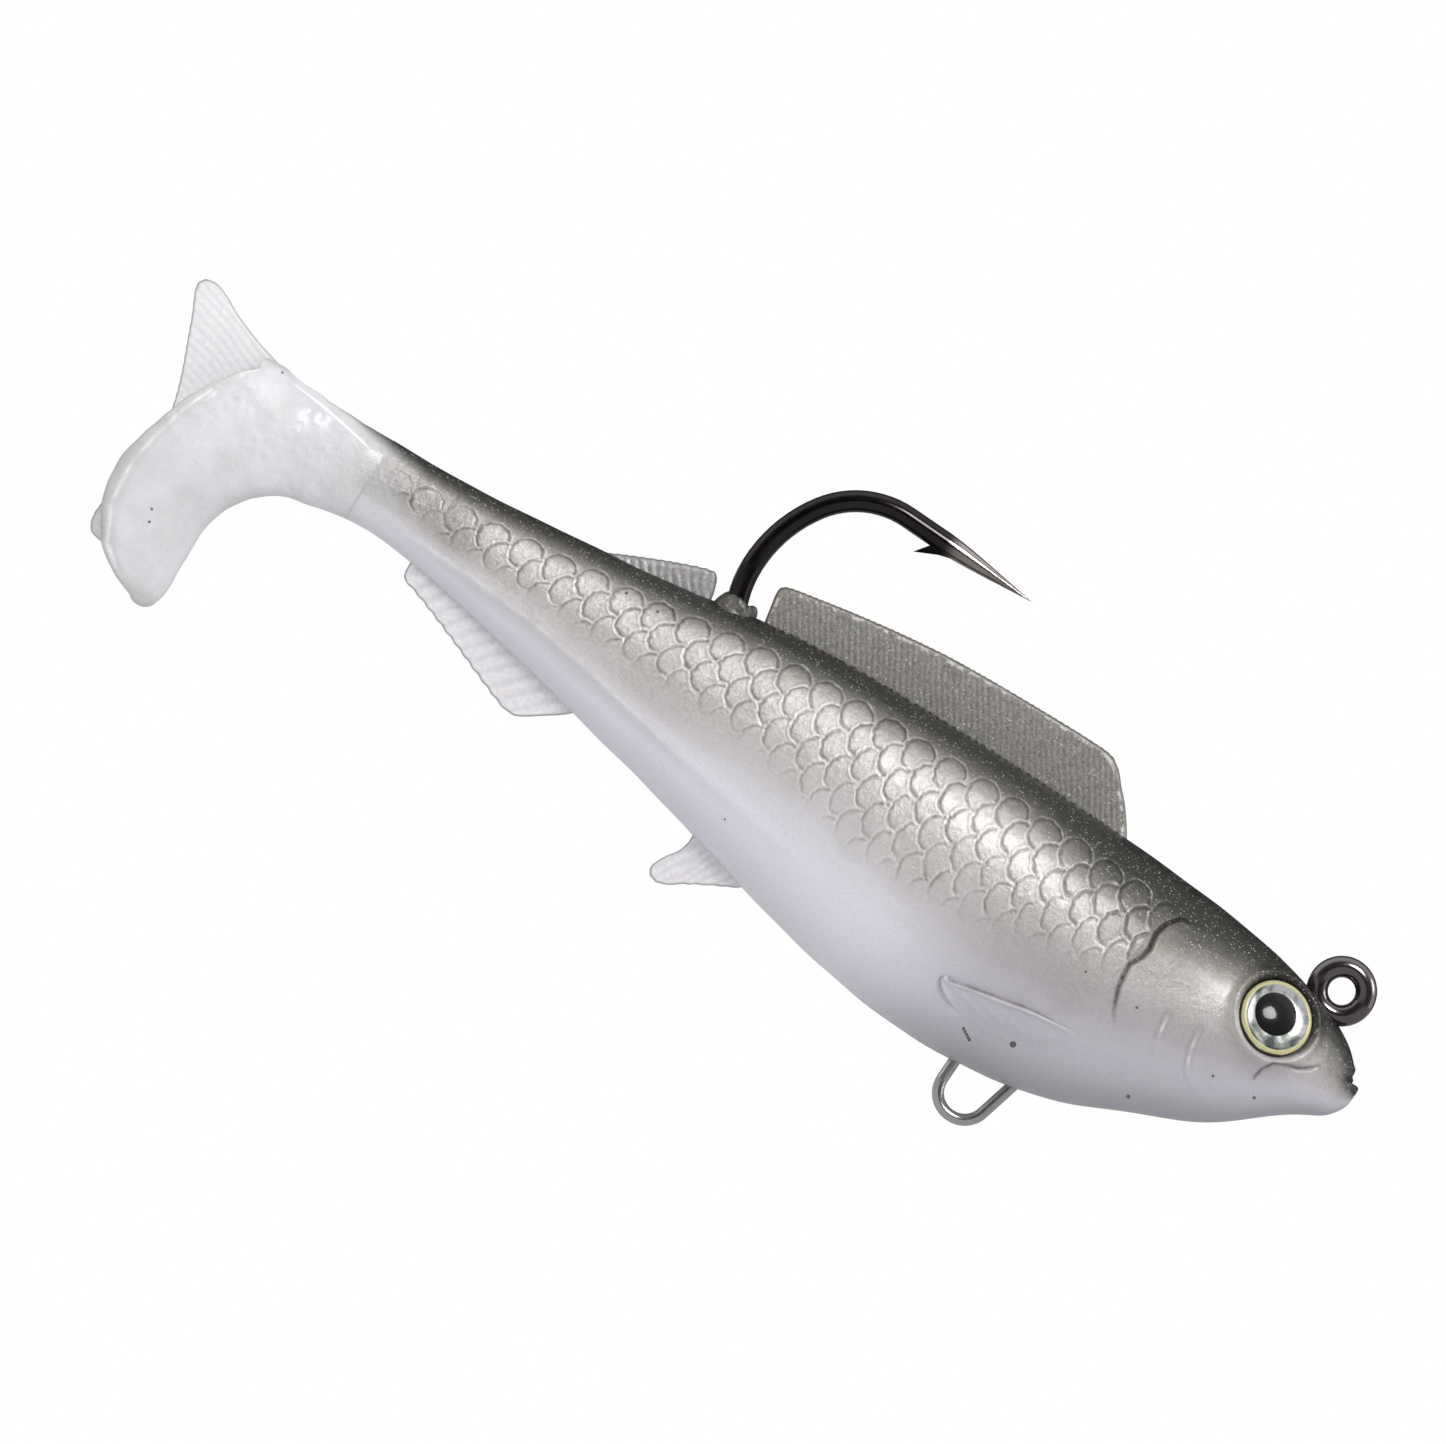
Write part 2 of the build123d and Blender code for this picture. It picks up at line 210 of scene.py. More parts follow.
def scale_relief(x, row):
    """Height, painted highlight and shade along the edges (line tone), and own tone of the overlapping
    scales (x in mm, row in rows).
    """
    table = np.random.default_rng(5).uniform(-1, 1, (64, 64, 4))
    candidates = []
    for dk in (-1, 0, 1, 2):
        k = np.floor(row) + dk
        shift = np.where(np.mod(k, 2) == 1, ROW_SHIFT[1], ROW_SHIFT[0])
        for di in (-1, 0, 1, 2):
            i = np.floor((x - shift) / PITCH) + di
            j = table[np.mod(i, 64).astype(int), np.mod(k, 64).astype(int)]
            dx = i * PITCH + shift + 0.12 * j[..., 0] - x
            dv = row - k - 0.05 * j[..., 1]
            # the lower arm of each free edge reaches further down and forward than the upper one
            low = np.clip(dv, 0, 2)
            r = np.hypot((dx - 0.22 * low) / SCALE_RX, (dv - 0.14 * low) / SCALE_RV)
            r += 0.025 * j[..., 2] * np.sin(5 * dv + 3 * j[..., 3])
            candidates.append((dx + x, r, dx, dv, k >= 0, j[..., 3]))
    best = np.full(x.shape, -1e9)
    height, own = np.zeros(x.shape), np.zeros(x.shape)
    inner, outer = np.full(x.shape, 9.0), np.full(x.shape, 9.0)
    for centre, r, dx, dv, real, wobble in candidates:
        inside = (r < 1) & (centre > best) & real
        ramp = np.clip((dx / SCALE_RX + 1) / 2, 0, 1)
        height = np.where(inside, 0.12 * (1 + 0.35 * wobble) * (ramp - 0.25 * dv**2) + 0.04, height)
        inner = np.where(inside, (1 - r) * SCALE_RX, inner)
        own = np.where(inside, wobble, own)
        best = np.where(inside, centre, best)
    for centre, r, _, _, real, _ in candidates:
        over = (r >= 1) & (centre > best) & real
        outer = np.where(over, np.minimum(outer, (r - 1) * SCALE_RX), outer)
    groove = bell(inner, 0.13, 0.125)
    rim = bell(outer, 0.09, 0.095)
    knot = rim * bell(inner, 0.1, 0.3)
    # the second value paints highlight on the rims and knots and shade in the grooves
    return height - 0.085 * groove + 0.045 * rim + 0.05 * knot, 0.6 * rim + 1.1 * knot - groove, own


# ---------------------------------------------------------------- head and flank relief
GILL = [(-14.6, -1.9), (-15.9, -2.2), (-16.8, -3.3), (-17.1, -4.6), (-16.9, -6.0), (-17.1, -7.0),
        (-17.7, -8.1), (-17.6, -9.3), (-17.4, -10.5), (-16.8, -12.2), (-15.6, -14.0)]
CHEEK = [[(-12.4, -10.0), (-12.1, -12.0), (-11.4, -14.4)],
         [(-9.3, -9.6), (-9.0, -11.6), (-8.4, -13.2), (-7.0, -14.4), (-5.0, -15.0)]]
JAW = [(-2.8, -10.8), (-2.7, -10.0), (-2.2, -9.2), (-1.0, -8.6), (0.3, -8.0), (1.2, -7.3), (1.9, -6.6)]
MOUTH = [(7.0, -6.1), (5.2, -6.2), (4.7, -6.45), (4.3, -6.9)]
NOSTRIL = [(-0.4, -3.5), (-0.05, -3.9), (0.1, -4.6)]
KEEL = [(-97.0, -9.1), (-92.2, -9.6), (-86.0, -9.85), (-79.5, -10.3), (-72.2, -11.4), (-64.0, -13.0),
        (-55.0, -14.6), (-44.0, -16.6)]


def swell(x, z):
    """The slow unevenness of the whole moulding."""
    return 0.03 * smooth_noise(x, z, 9.0, 3)


def dorsal_foot(x, y, z, middle, width):
    """A strip along each side of the long fin's foot."""
    return between(x, -63.0, -61.0, -25.0, -23.0) * bell(np.abs(y), middle, width) * (z > -3)


def relief(x, y, z):
    """Height of everything moulded into the skin other than scales, in mm along the normal."""
    d, along, side = to_line(x, z, GILL)
    fade = between(along, 0.0, 0.08, 0.72, 1.0)
    h = fade * (np.where(side > 0, 0.34 * np.exp(-d / 1.6), 0.0) - 0.46 * bell(d, 0, 0.17))
    for line in CHEEK:
        d, along, _ = to_line(x, z, line)
        h += 0.07 * bell(d, 0, 0.3) * np.sin(np.pi * np.clip(along, 0.02, 0.98)) ** 0.7
    d, along, side = to_line(x, z, JAW)
    fade = between(along, 0.0, 0.06, 0.8, 1.0)
    h += fade * (np.where(side > 0, 0.16, -0.05) * np.exp(-d / 0.9) - 0.36 * bell(d, 0, 0.18))
    d, along, side = to_line(x, z, MOUTH)
    h -= 0.6 * (1 - step(0.45, 1.0, along)) * bell(d, 0, 0.27)
    h += np.where(side < 0, 0.22, 0.05) * bell(d, 0.65, 0.4) * (1 - step(0.5, 1.0, along))
    h -= 0.14 * bell(to_line(x, z, NOSTRIL)[0], 0, 0.2)
    d, along, _ = to_line(x, z, KEEL)
    h += 0.26 * bell(d, 0, 0.75) * between(along, 0.0, 0.2, 0.6, 1.0)
    scallops = 0.4 + 0.6 * np.sin(x * TURN / 0.8 + 3 * smooth_noise(x, z, 5, 4))
    return h + 0.14 * dorsal_foot(x, y, z, 0.9, 0.45) * scallops + swell(x, z)


def eye_socket(points, side):
    """Sink the skin to the pocket floor inside the eye's circle and raise a soft lid round it."""
    mirror = np.array((1, side, 1))
    n = unit(EYE_LOOK * mirror)
    rel = points - EYE * mirror
    c = rel @ n
    r = np.linalg.norm(rel - c[..., None] * n, axis=-1)
    near = (c > -3.5) & (r < 6)
    sink = (1 - step(EYE_R - 0.1, EYE_R + 0.28, r)) * near
    lid = 0.32 * bell(r, EYE_R + 0.75, 0.42) * near
    # the lid's rim follows one plane, so that the pocket has an even edge
    level = c + lid + bell(r, EYE_R + 0.5, 0.9) * near * 0.55 * (0.85 - c)
    level = level * (1 - sink) - 0.12 * sink
    return points + (level - c)[..., None] * n


def ring_normals(points):
    """Unit normals of a grid of closed rings, all to the same side."""
    around = (np.roll(points, -1, axis=1) - np.roll(points, 1, axis=1)) / 2
    return unit(np.cross(around, np.gradient(points, axis=0)))


def skin_grid(t_values, phi):
    """Undisplaced skin points and outward normals, on a grid of rings."""
    st = stations_at(t_values)
    c, s = np.cos(phi), np.sin(phi)
    x, top, bottom, half, widest = (st[:, i][:, None] for i in range(5))
    z = np.where(c >= 0, widest + (top - widest) * c, widest + (widest - bottom) * c)
    base = np.stack([x * np.ones(len(phi)), half * s, z], axis=-1)
    normal = ring_normals(base)
    return base, normal * np.sign(normal[len(st) // 2, len(phi) // 4, 1])


def build_skin():
    """The whole skin as a grid of rings: points, normals, values for the material, and ring places."""
    half_ring = np.concatenate([np.linspace(0, 100, 119)[:-1], np.linspace(100, 180, 41)])
    phi = np.radians(np.concatenate([half_ring, 360 - half_ring[1:-1][::-1]]))
    base, normal = skin_grid(np.arange(0, STATION_T[-1] + SKIN_STEP, SKIN_STEP), phi)
    x, y, z = np.moveaxis(base, -1, 0)

    # rows of scales are counted down the flank, over the surface
    seg = np.linalg.norm(np.diff(base[:, : len(half_ring)], axis=1), axis=-1)
    down = np.concatenate([np.zeros((len(base), 1)), np.cumsum(seg, axis=1)], axis=1)
    down = np.concatenate([down, down[:, 1:-1][:, ::-1]], axis=1)
    row = (down - np.interp(x, ROW_X, FIRST_ROW)) / np.interp(x, ROW_X, ROW_SPACING)
    last = np.interp(x, LAST_ROW_X, LAST_ROW)
    mask = step(-16.8, -17.8, x) * step(-98.2, -94.5, x) * between(row, -1.25, -0.95, last, last + 1.3)
    gill_d, _, gill_side = to_line(x, z, GILL)
    mask *= np.where(x > -20, np.where(gill_side > 0, 0.0, step(0.15, 0.8, gill_d)), 1.0)
    worn = step(-86.0, -93.0, x) * 0.6 + 0.35 * step(1.5, 4.5, row)
    mask *= np.clip(1 - worn * (0.9 + 0.8 * smooth_noise(x, row * 1.8, 4.0, 31)), 0, 1)
    wander_x, wander_row = (size * smooth_noise(x, row * 1.8, pitch, seed)
                            for size, pitch, seed in ((0.09, 1.3, 71), (0.05, 1.1, 72)))
    scale_h, scale_tone, own_tone = scale_relief(x + wander_x, row + wander_row)
    points = base + normal * (relief(x, y, z) + scale_h * mask)[..., None]

    # the upper lip stops short of the lower one
    lip = step(-6.4, -5.85, points[..., 2])
    excess = np.clip(points[..., 0] - 4.7 - 0.12 * np.abs(points[..., 1]), 0, None)
    points[..., 0] -= lip * excess * 0.9
    points = np.where((y > 0)[..., None], eye_socket(points, 1), eye_socket(points, -1))
    facing = ring_normals(points)
    facing *= np.sign((facing * normal).sum(axis=-1, keepdims=True))

    values = shades(x, z)
    tone = values["tone"] + 0.45 * lip * step(0.02, 0.3, excess)
    # painted shade in a ring round the rim of the eye's pocket
    tone *= 1 - 0.35 * bell(np.hypot(x - EYE[0], z - EYE[2]), 3.75, 0.3)
    values["tone"] = np.clip(tone + 0.055 * own_tone * mask, 0, 1)
    # the line value is painted light: positive values paint highlight, negative ones paint shade; here shade
    # in the scale grooves and highlight on their rims and knots
    line = scale_tone * mask
    # painted shade along the gill, jaw and nostril creases
    for crease, width, share in ((GILL, 0.15, 1.4), (JAW, 0.15, 1.4), (NOSTRIL, 0.14, 0.6)):
        d, along, _ = to_line(x, z, crease)
        line -= share * bell(d, 0, width) * (1 - step(0.65, 1.0, along))
    # painted highlight in a ragged line along the dorsal fin's foot
    line += dorsal_foot(x, y, z, 0.75, 0.3) * np.clip(0.3 + smooth_noise(x, np.abs(y), 0.9, 61), 0, 1)
    # painted highlight along the keel ridge, which the relief also raises
    d, along, _ = to_line(x, z, KEEL)
    line += 0.55 * bell(d, 0, 0.22) * between(along, 0.0, 0.15, 0.55, 0.8)
    # painted highlight on the cheek ridges, with a little painted shade beside their first part
    for ridge in CHEEK:
        d, along, _ = to_line(x, z, ridge)
        line += 0.9 * bell(d, 0, 0.12) * np.sin(np.pi * np.clip(along * 1.6, 0, 1))
        line -= 0.25 * bell(d, 0.3, 0.15) * (1 - step(0.3, 0.7, along))
    return points, facing, values | {"line": line}, x[:, 0]


# ---------------------------------------------------------------- meshes


def link(name, data):
    obj = bpy.data.objects.new(name, data)
    bpy.context.scene.collection.objects.link(obj)
    return obj


def put_values(mesh, values):
    """Write named numbers or vectors, one for each vertex."""
    for key, data in values.items():
        flat = np.reshape(data, (len(mesh.vertices), -1)).astype(np.float32)
        kind, slot = ("FLOAT_VECTOR", "vector") if flat.shape[1] == 3 else ("FLOAT", "value")
        mesh.attributes.new(key, kind, "POINT").data.foreach_set(slot, flat.ravel())


def finish_mesh(mesh, material):
    mesh.polygons.foreach_set("use_smooth", [True] * len(mesh.polygons))
    mesh.materials.append(material)
    mesh.update()


def grid_mesh(name, points, values, material, closed=True, cap=False):
    """An object from a grid of points in mm; its rings may be closed, and its first ring capped."""
    n, m = points.shape[:2]
    i, j = np.meshgrid(np.arange(n - 1), np.arange(m if closed else m - 1), indexing="ij")
    k = (j + 1) % m
    quads = np.stack([i * m + j, (i + 1) * m + j, (i + 1) * m + k, i * m + k], axis=-1)
    faces = quads.reshape(-1, 4).tolist()
    if cap:
        faces += [[n * m, a, (a + 1) % m] for a in range(m)]

    def column(grid):
        rows = np.reshape(grid, (n * m, -1))
        return np.vstack([rows, rows[:m].mean(axis=0)]) if cap else rows

    mesh = bpy.data.meshes.new(name)
    mesh.from_pydata((column(points) * MM).tolist(), [], faces)
    put_values(mesh, {key: column(grid) for key, grid in ({"rest": points} | values).items()})
    finish_mesh(mesh, material)
    return link(name, mesh)


def face_out(obj, normals):
    """Turn the faces to agree with the given outward normals."""
    middle = obj.data.polygons[len(obj.data.polygons) // 2]
    if np.dot(normals.reshape(-1, 3)[middle.vertices[0]], middle.normal) < 0:
        obj.data.flip_normals()


def outward(obj):
    """Make the faces of a closed mesh look outwards."""
    bm = bmesh.new()
    bm.from_mesh(obj.data)
    bmesh.ops.recalc_face_normals(bm, faces=bm.faces[:])
    bm.to_mesh(obj.data)
    bm.free()
    return obj


def resample(points, count, rounds=2):
    """A polyline rounded at its corners and divided evenly."""
    p = np.asarray(points, float)
    for _ in range(rounds):
        q = 0.75 * p[:-1] + 0.25 * p[1:]
        r = 0.25 * p[:-1] + 0.75 * p[1:]
        p = np.vstack([p[:1], np.stack([q, r], axis=1).reshape(-1, p.shape[1]), p[-1:]])
    length = np.concatenate([[0], np.cumsum(np.linalg.norm(np.diff(p, axis=0), axis=1))])
    at = np.linspace(0, length[-1], count)
    return np.stack([np.interp(at, length, p[:, i]) for i in range(p.shape[1])], axis=-1)


def lathe(name, profile, centre, axis, material, segments=64):
    """A turned shape: profile of (radius, height) about an axis, in mm."""
    axis = Vector(axis).normalized()
    side = axis.cross(Vector((0, 0, 1))).normalized()
    angle = np.linspace(0, TURN, segments + 1)[:-1]
    r, height = np.array(profile).T[:, :, None]
    local = np.stack([r * np.cos(angle), r * np.sin(angle), height + 0 * angle], axis=-1)
    points = centre + local @ np.array([side[:], side.cross(axis)[:], axis[:]])
    return outward(grid_mesh(name, points, {"rest": local, "radius": r + 0 * angle}, material))


# ---------------------------------------------------------------- materials


class Nodes:
    """A short way to write the node tree of a material or a world."""

    def __init__(self, name, kind="Material"):
        self.owner = (bpy.data.worlds if kind == "World" else bpy.data.materials).new(name)
        self.owner.use_nodes = True
        self.tree = self.owner.node_tree
        self.tree.nodes.clear()
        self.out = self.node("Output" + kind)

    def node(self, kind, inputs=None, **settings):
        n = self.tree.nodes.new("ShaderNode" + kind)
        for key, value in settings.items():
            setattr(n, key, value)
        for key, value in (inputs or {}).items():
            self.put(n.inputs[key], value)
        return n

    def put(self, socket, value):
        if isinstance(value, bpy.types.NodeSocket):
            self.tree.links.new(value, socket)
        elif socket.type == "RGBA":
            socket.default_value = (*value, 1.0)
        else:
            socket.default_value = value

    def math(self, operation, *values, clamp=False):
        n = self.node("Math", operation=operation, use_clamp=clamp)
        for socket, value in zip(n.inputs, values):
            self.put(socket, value)
        return n.outputs[0]

    def times(self, first, *others):
        for other in others:
            first = self.math("MULTIPLY", first, other)
        return first

    def plus(self, first, *others):
        for other in others:
            first = self.math("ADD", first, other)
        return first

    def inverse(self, value):
        return self.math("SUBTRACT", 1.0, value)

    def swing(self, noise, amount):
        """Noise spread about 0."""
        return self.times(self.plus(noise, -0.5), amount)

    def mix(self, factor, a, b, blend="MIX"):
        n = self.node("Mix", {0: factor, 6: a, 7: b}, data_type="RGBA", blend_type=blend)
        return n.outputs[2]

    def tint(self, factor, colour, by):
        return self.mix(factor, colour, by, "MULTIPLY")

    def ramp(self, factor, stops, interpolation="EASE"):
        n = self.node("ValToRGB", {0: factor})
        n.color_ramp.interpolation = interpolation
        elements = n.color_ramp.elements
        while len(elements) < len(stops):
            elements.new(0.5)
        for element, (position, colour) in zip(elements, stops):
            element.position = position
            element.color = (*colour, 1.0)
        return n.outputs[0]

    def attribute(self, name, output="Fac"):
        return self.node("Attribute", attribute_name=name).outputs[output]

    def range(self, value, from_min, from_max, to_min=0.0, to_max=1.0):
        limits = {"From Min": from_min, "From Max": from_max, "To Min": to_min, "To Max": to_max}
        return self.node("MapRange", {"Value": value} | limits).outputs[0]

    def noise(self, where, scale, detail=4.0, rough=0.5):
        inputs = {"Vector": where, "Scale": scale, "Detail": detail, "Roughness": rough}
        return self.node("TexNoise", inputs).outputs["Fac"]

    def cells(self, where, scale):
        n = self.node("TexVoronoi", {"Vector": where, "Scale": scale}, feature="F1")
        return n.outputs["Distance"], self.node("SeparateColor", {"Color": n.outputs["Color"]}).outputs

    def part(self, vector, axis):
        return self.node("SeparateXYZ", {"Vector": vector}).outputs[axis]

    def bump(self, height, strength, distance):
        inputs = {"Height": height, "Strength": strength, "Distance": distance}
        return self.node("Bump", inputs).outputs["Normal"]

    def blend(self, factor, a, b):
        return self.node("MixShader", {0: factor, 1: a, 2: b}).outputs[0]

    def finish(self, shader):
        self.tree.links.new(shader, self.out.inputs["Surface"])
        return self.owner

    def principled(self, inputs):
        return self.finish(self.node("BsdfPrincipled", inputs).outputs[0])


def glitter(m, rest, amount, colour, scale=5.2):
    """Metal flakes in the plastic: the colour, how much flake there is, and a height for the bump."""
    distance, value = m.cells(rest, scale)
    flake = m.times(m.range(value["Red"], 0.66, 0.93), m.range(distance, 0.46, 0.24), amount)
    bright = m.mix(m.range(value["Green"], 0.1, 0.9), (0.22, 0.22, 0.20), (0.80, 0.80, 0.77))
    return m.mix(flake, colour, bright), flake, value["Blue"]


# the largest of the dark inclusions in the plastic: x, z, radius
SPECKS = [(-22.7, -19.7, 0.3), (-11.4, -18.2, 0.2), (-6.0, -12.6, 0.14), (-1.8, -12.3, 0.15),
          (-15.1, -11.0, 0.13), (-20.7, -10.7, 0.13), (-113.6, -19.9, 0.13), (-113.2, -21.0, 0.13),
          (-110.3, -3.3, 0.12)]
SPECKS += [(-27.2 + 0.25 * i, -20.85 - 0.15 * i, 0.15) for i in range(5)]  # a short rod
BACK_STOPS = [
    (0.0, (0.016, 0.015, 0.012)),
    (0.22, (0.030, 0.029, 0.025)),
    (0.36, (0.095, 0.090, 0.081)),
    (0.50, (0.20, 0.19, 0.175)),
    (0.68, (0.40, 0.38, 0.365)),
    (0.88, (0.56, 0.535, 0.52)),
    (1.0, (0.56, 0.53, 0.52)),
]


def soft_body():
    """Glossy soft plastic: dark flaked back, silver flank, lavender belly, milky tail."""
    m = Nodes("soft_body_skin")
    rest = m.attribute("rest", "Vector")
    tone, belly, tail, front, line = (m.attribute(key) for key in ("tone", "belly", "tail", "front", "line"))
    cloud, grain = m.noise(rest, 0.9, 4.0, 0.6), m.noise(rest, 5.0, 3.0, 0.7)
    mottle = m.noise(rest, 2.6, 4.0, 0.7)
    tone = m.plus(tone, m.swing(cloud, 0.10))
    low = m.range(m.plus(belly, m.swing(m.noise(rest, 0.16, 3.0), 0.3)), 0.36, 0.62)
    flank, pale = m.inverse(low), m.math("MAXIMUM", tail, low)
    hue = m.mix(m.range(belly, 0.52, 0.74), (0.51, 0.49, 0.495), (0.66, 0.645, 0.71))
    colour = m.mix(low, m.ramp(tone, BACK_STOPS, "LINEAR"), hue)
    colour = m.tint(m.times(front, m.range(belly, 0.3, 0.6)), colour, (0.66, 0.65, 0.66))
    # the underside of the front belly is darkened: painted shade
    colour = m.tint(m.times(front, m.range(belly, 0.84, 1.0)), colour, (0.72, 0.71, 0.73))
    green = m.times(m.range(m.noise(rest, 0.3, 2.0), 0.52, 0.66), flank, 0.35)
    colour = m.tint(green, colour, (0.80, 0.84, 0.76))
    milk = m.range(m.noise(rest, 0.22, 3.0, 0.6), 0.38, 0.62)
    colour = m.mix(tail, colour, m.mix(milk, (0.565, 0.575, 0.585), (0.635, 0.63, 0.665)))
    colour = m.tint(m.times(m.attribute("edge"), 0.5), colour, (0.70, 0.74, 0.66))
    patches = m.times(m.range(mottle, 0.58, 0.36), m.range(pale, 1.0, 0.0, 0.1, 0.5))
    colour = m.tint(patches, colour, (0.62, 0.61, 0.60))
    colour = m.mix(m.range(grain, 0.25, 0.8, 0.0, 0.25), colour, (0.45, 0.45, 0.44), "SOFT_LIGHT")
    # metal flakes, most of them in the dark back
    dark = m.times(m.range(tone, 0.62, 0.2), m.inverse(tail))
    clear = m.inverse(m.math("MAXIMUM", tail, m.times(low, 0.8)))
    amount = m.times(m.range(dark, 0.0, 1.0, 0.22, 0.62), clear)
    colour, flake, flake_height = glitter(m, rest, amount, colour)
    # painted shade in the creases and grooves, painted highlight on the crests, scale rims and knots
    crease = m.times(m.range(line, 0.0, -1.0), m.range(cloud, 0.35, 0.65, 0.95, 0.55))
    crest = m.times(m.range(line, 0.0, 1.5), m.range(cloud, 0.4, 0.62, 0.15, 0.75))
    colour = m.mix(crest, m.tint(crease, colour, (0.30, 0.29, 0.27)), (0.95, 0.94, 0.93))
    # inclusions: small seeded ones, and the placed ones
    distance, value = m.cells(rest, 0.33)
    size = m.range(value["Green"], 0.0, 1.0, 0.02, 0.06)
    spot = m.times(m.math("LESS_THAN", distance, size), m.math("GREATER_THAN", value["Red"], 0.6))
    flat = m.node("VectorMath", {0: rest, 1: (1, 0, 1)}, operation="MULTIPLY").outputs[0]
    ragged = m.swing(grain, 0.15)
    for x, z, radius in SPECKS:
        away = m.node("VectorMath", {0: flat, 1: (x, 0, z)}, operation="DISTANCE").outputs["Value"]
        spot = m.math("MAXIMUM", spot, m.math("LESS_THAN", m.plus(away, ragged), radius))
    colour = m.mix(m.times(spot, 0.85), colour, (0.05, 0.045, 0.04))
    # painted highlight along the crisp edge of the ridge that runs out along the top of the tail
    t = m.math("SUBTRACT", -100.3, m.part(rest, "X"))
    ridge = m.plus(m.times(t, 0.226), m.times(t, t, -0.0092), -4.9)
    off = m.math("ABSOLUTE", m.math("SUBTRACT", m.part(rest, "Z"), ridge))
    ridge_highlight = m.times(m.range(off, 0.15, 0.05), m.range(t, -0.8, 0.8), m.range(t, 9.0, 6.0))
    colour = m.mix(m.times(ridge_highlight, 0.8), colour, (0.93, 0.93, 0.92))
    pearl = m.times(m.range(low, 1.0, 0.0, 0.05, 0.38), m.inverse(tail))
    wrinkle = m.times(m.noise(rest, 1.1, 5.0, 0.65), m.range(low, 1.0, 0.0, 0.8, 3.5))
    height = m.plus(m.times(flake_height, 0.5), m.times(grain, 0.8), m.times(mottle, 1.4), wrinkle)
    return m.principled({
        "Base Color": colour,
        "Metallic": m.math("MAXIMUM", pearl, m.times(flake, 0.9), clamp=True),
        "Roughness": m.range(grain, 0.2, 0.8, 0.29, 0.44),
        "IOR": 1.45,
        "Normal": m.bump(height, 0.5, 0.00008),
        "Subsurface Weight": m.range(tail, 0.0, 1.0, 0.15, 0.5),
        "Subsurface Radius": (1.0, 0.95, 1.0),
        "Subsurface Scale": 0.0007,
        "Coat Weight": m.range(tone, 0.1, 0.7, 0.08, 0.3),
        "Coat Roughness": 0.12,
    })


def soft_fin(name, root, rim, flakes, alpha):
    """Thin see-through fin plastic with a dark outline and metal flakes."""
    m = Nodes(name)
    rest = m.attribute("rest", "Vector")
    edge, line, tone = (m.attribute(key) for key in ("edge", "line", "tone"))
    colour = m.mix(m.plus(tone, m.swing(m.noise(rest, 0.5, 3.0), 0.7)), root, rim)
    # painted highlight on the rib crests
    colour = m.mix(m.range(line, -1.0, 1.0, 0.0, 0.3), colour, (0.9, 0.9, 0.9), "SOFT_LIGHT")
    crinkle = m.noise(rest, 2.2, 4.0, 0.65)
    # painted shade between the ribs, broken up by the crinkle
    rib_shade = m.times(m.range(line, -0.2, -1.0, 0.0, 0.3), m.range(crinkle, 0.35, 0.6))
    colour = m.tint(rib_shade, colour, (0.6, 0.59, 0.6))
    colour = m.mix(m.range(crinkle, 0.35, 0.65), colour, (0.80, 0.80, 0.78), "SOFT_LIGHT")
    dirt = m.times(m.range(m.noise(rest, 4.0, 3.0, 0.7), 0.52, 0.36), flakes * 0.7)
    colour = m.tint(dirt, colour, (0.45, 0.44, 0.42))
    amount = m.range(m.noise(rest, 0.8), 0.3, 0.7, flakes * 0.4, flakes)
    colour, flake, height = glitter(m, rest, amount, colour, 6.0)
    colour = m.tint(m.range(edge, 0.14, 0.5, 0.0, 0.8), colour, (0.40, 0.39, 0.39))
    # painted glints in a band just inside the fin's rim
    glint_spots = m.range(m.noise(rest, 1.7, 3.0, 0.7), 0.50, 0.58)
    glint = m.times(m.range(edge, 0.01, 0.03), m.range(edge, 0.2, 0.1), glint_spots, flakes)
    return m.principled({
        "Base Color": m.mix(m.times(glint, 0.5), colour, (0.85, 0.85, 0.83)),
        "Metallic": m.times(flake, 0.8),
        "Roughness": 0.3,
        "IOR": 1.45,
        "Alpha": m.math("MAXIMUM", m.plus(m.times(edge, 0.2), alpha), flake, clamp=True),
        "Normal": m.bump(m.plus(crinkle, m.times(height, 0.4)), 0.6, 0.00014),
        "Subsurface Weight": 0.2,
        "Subsurface Scale": 0.001,
        "Coat Weight": 0.25,
        "Coat Roughness": 0.15,
    })


FOIL_STOPS = [
    (0.34, (0.10, 0.12, 0.12)),
    (0.44, (0.34, 0.37, 0.33)),
    (0.54, (0.85, 0.86, 0.84)),
    (0.62, (0.95, 0.95, 0.95)),
    (0.70, (0.50, 0.57, 0.60)),
]


def eye_foil():
    """Silver holographic iris with a pale-yellow outer ring."""
    m = Nodes("eye_foil_print")
    rest, radius = m.attribute("rest", "Vector"), m.attribute("radius")
    # one side of the iris is painted lighter than the other: painted reflection over the printed foil
    # pattern
    reflection_tilt = m.plus(m.times(m.part(rest, "X"), -0.035), m.times(m.part(rest, "Y"), 0.025))
    colour = m.ramp(m.plus(m.noise(rest, 0.55, 2.0), reflection_tilt), FOIL_STOPS)
    flecks = m.noise(rest, 3.5, 3.0, 0.7)
    colour = m.tint(m.range(flecks, 0.35, 0.7, 0.0, 0.5), colour, (0.35, 0.35, 0.36))
    ring = m.times(m.range(radius, 3.00, 3.08), m.range(radius, 3.42, 3.36))
    colour = m.mix(ring, colour, (0.60, 0.57, 0.27))
    return m.principled({
        "Base Color": m.mix(m.range(radius, 3.40, 3.47), colour, (0.07, 0.065, 0.055)),
        "Metallic": m.range(ring, 0.0, 1.0, 0.6, 0.1),
        "Roughness": m.range(flecks, 0.3, 0.7, 0.22, 0.38),
        "Normal": m.bump(flecks, 0.3, 0.00005),
    })


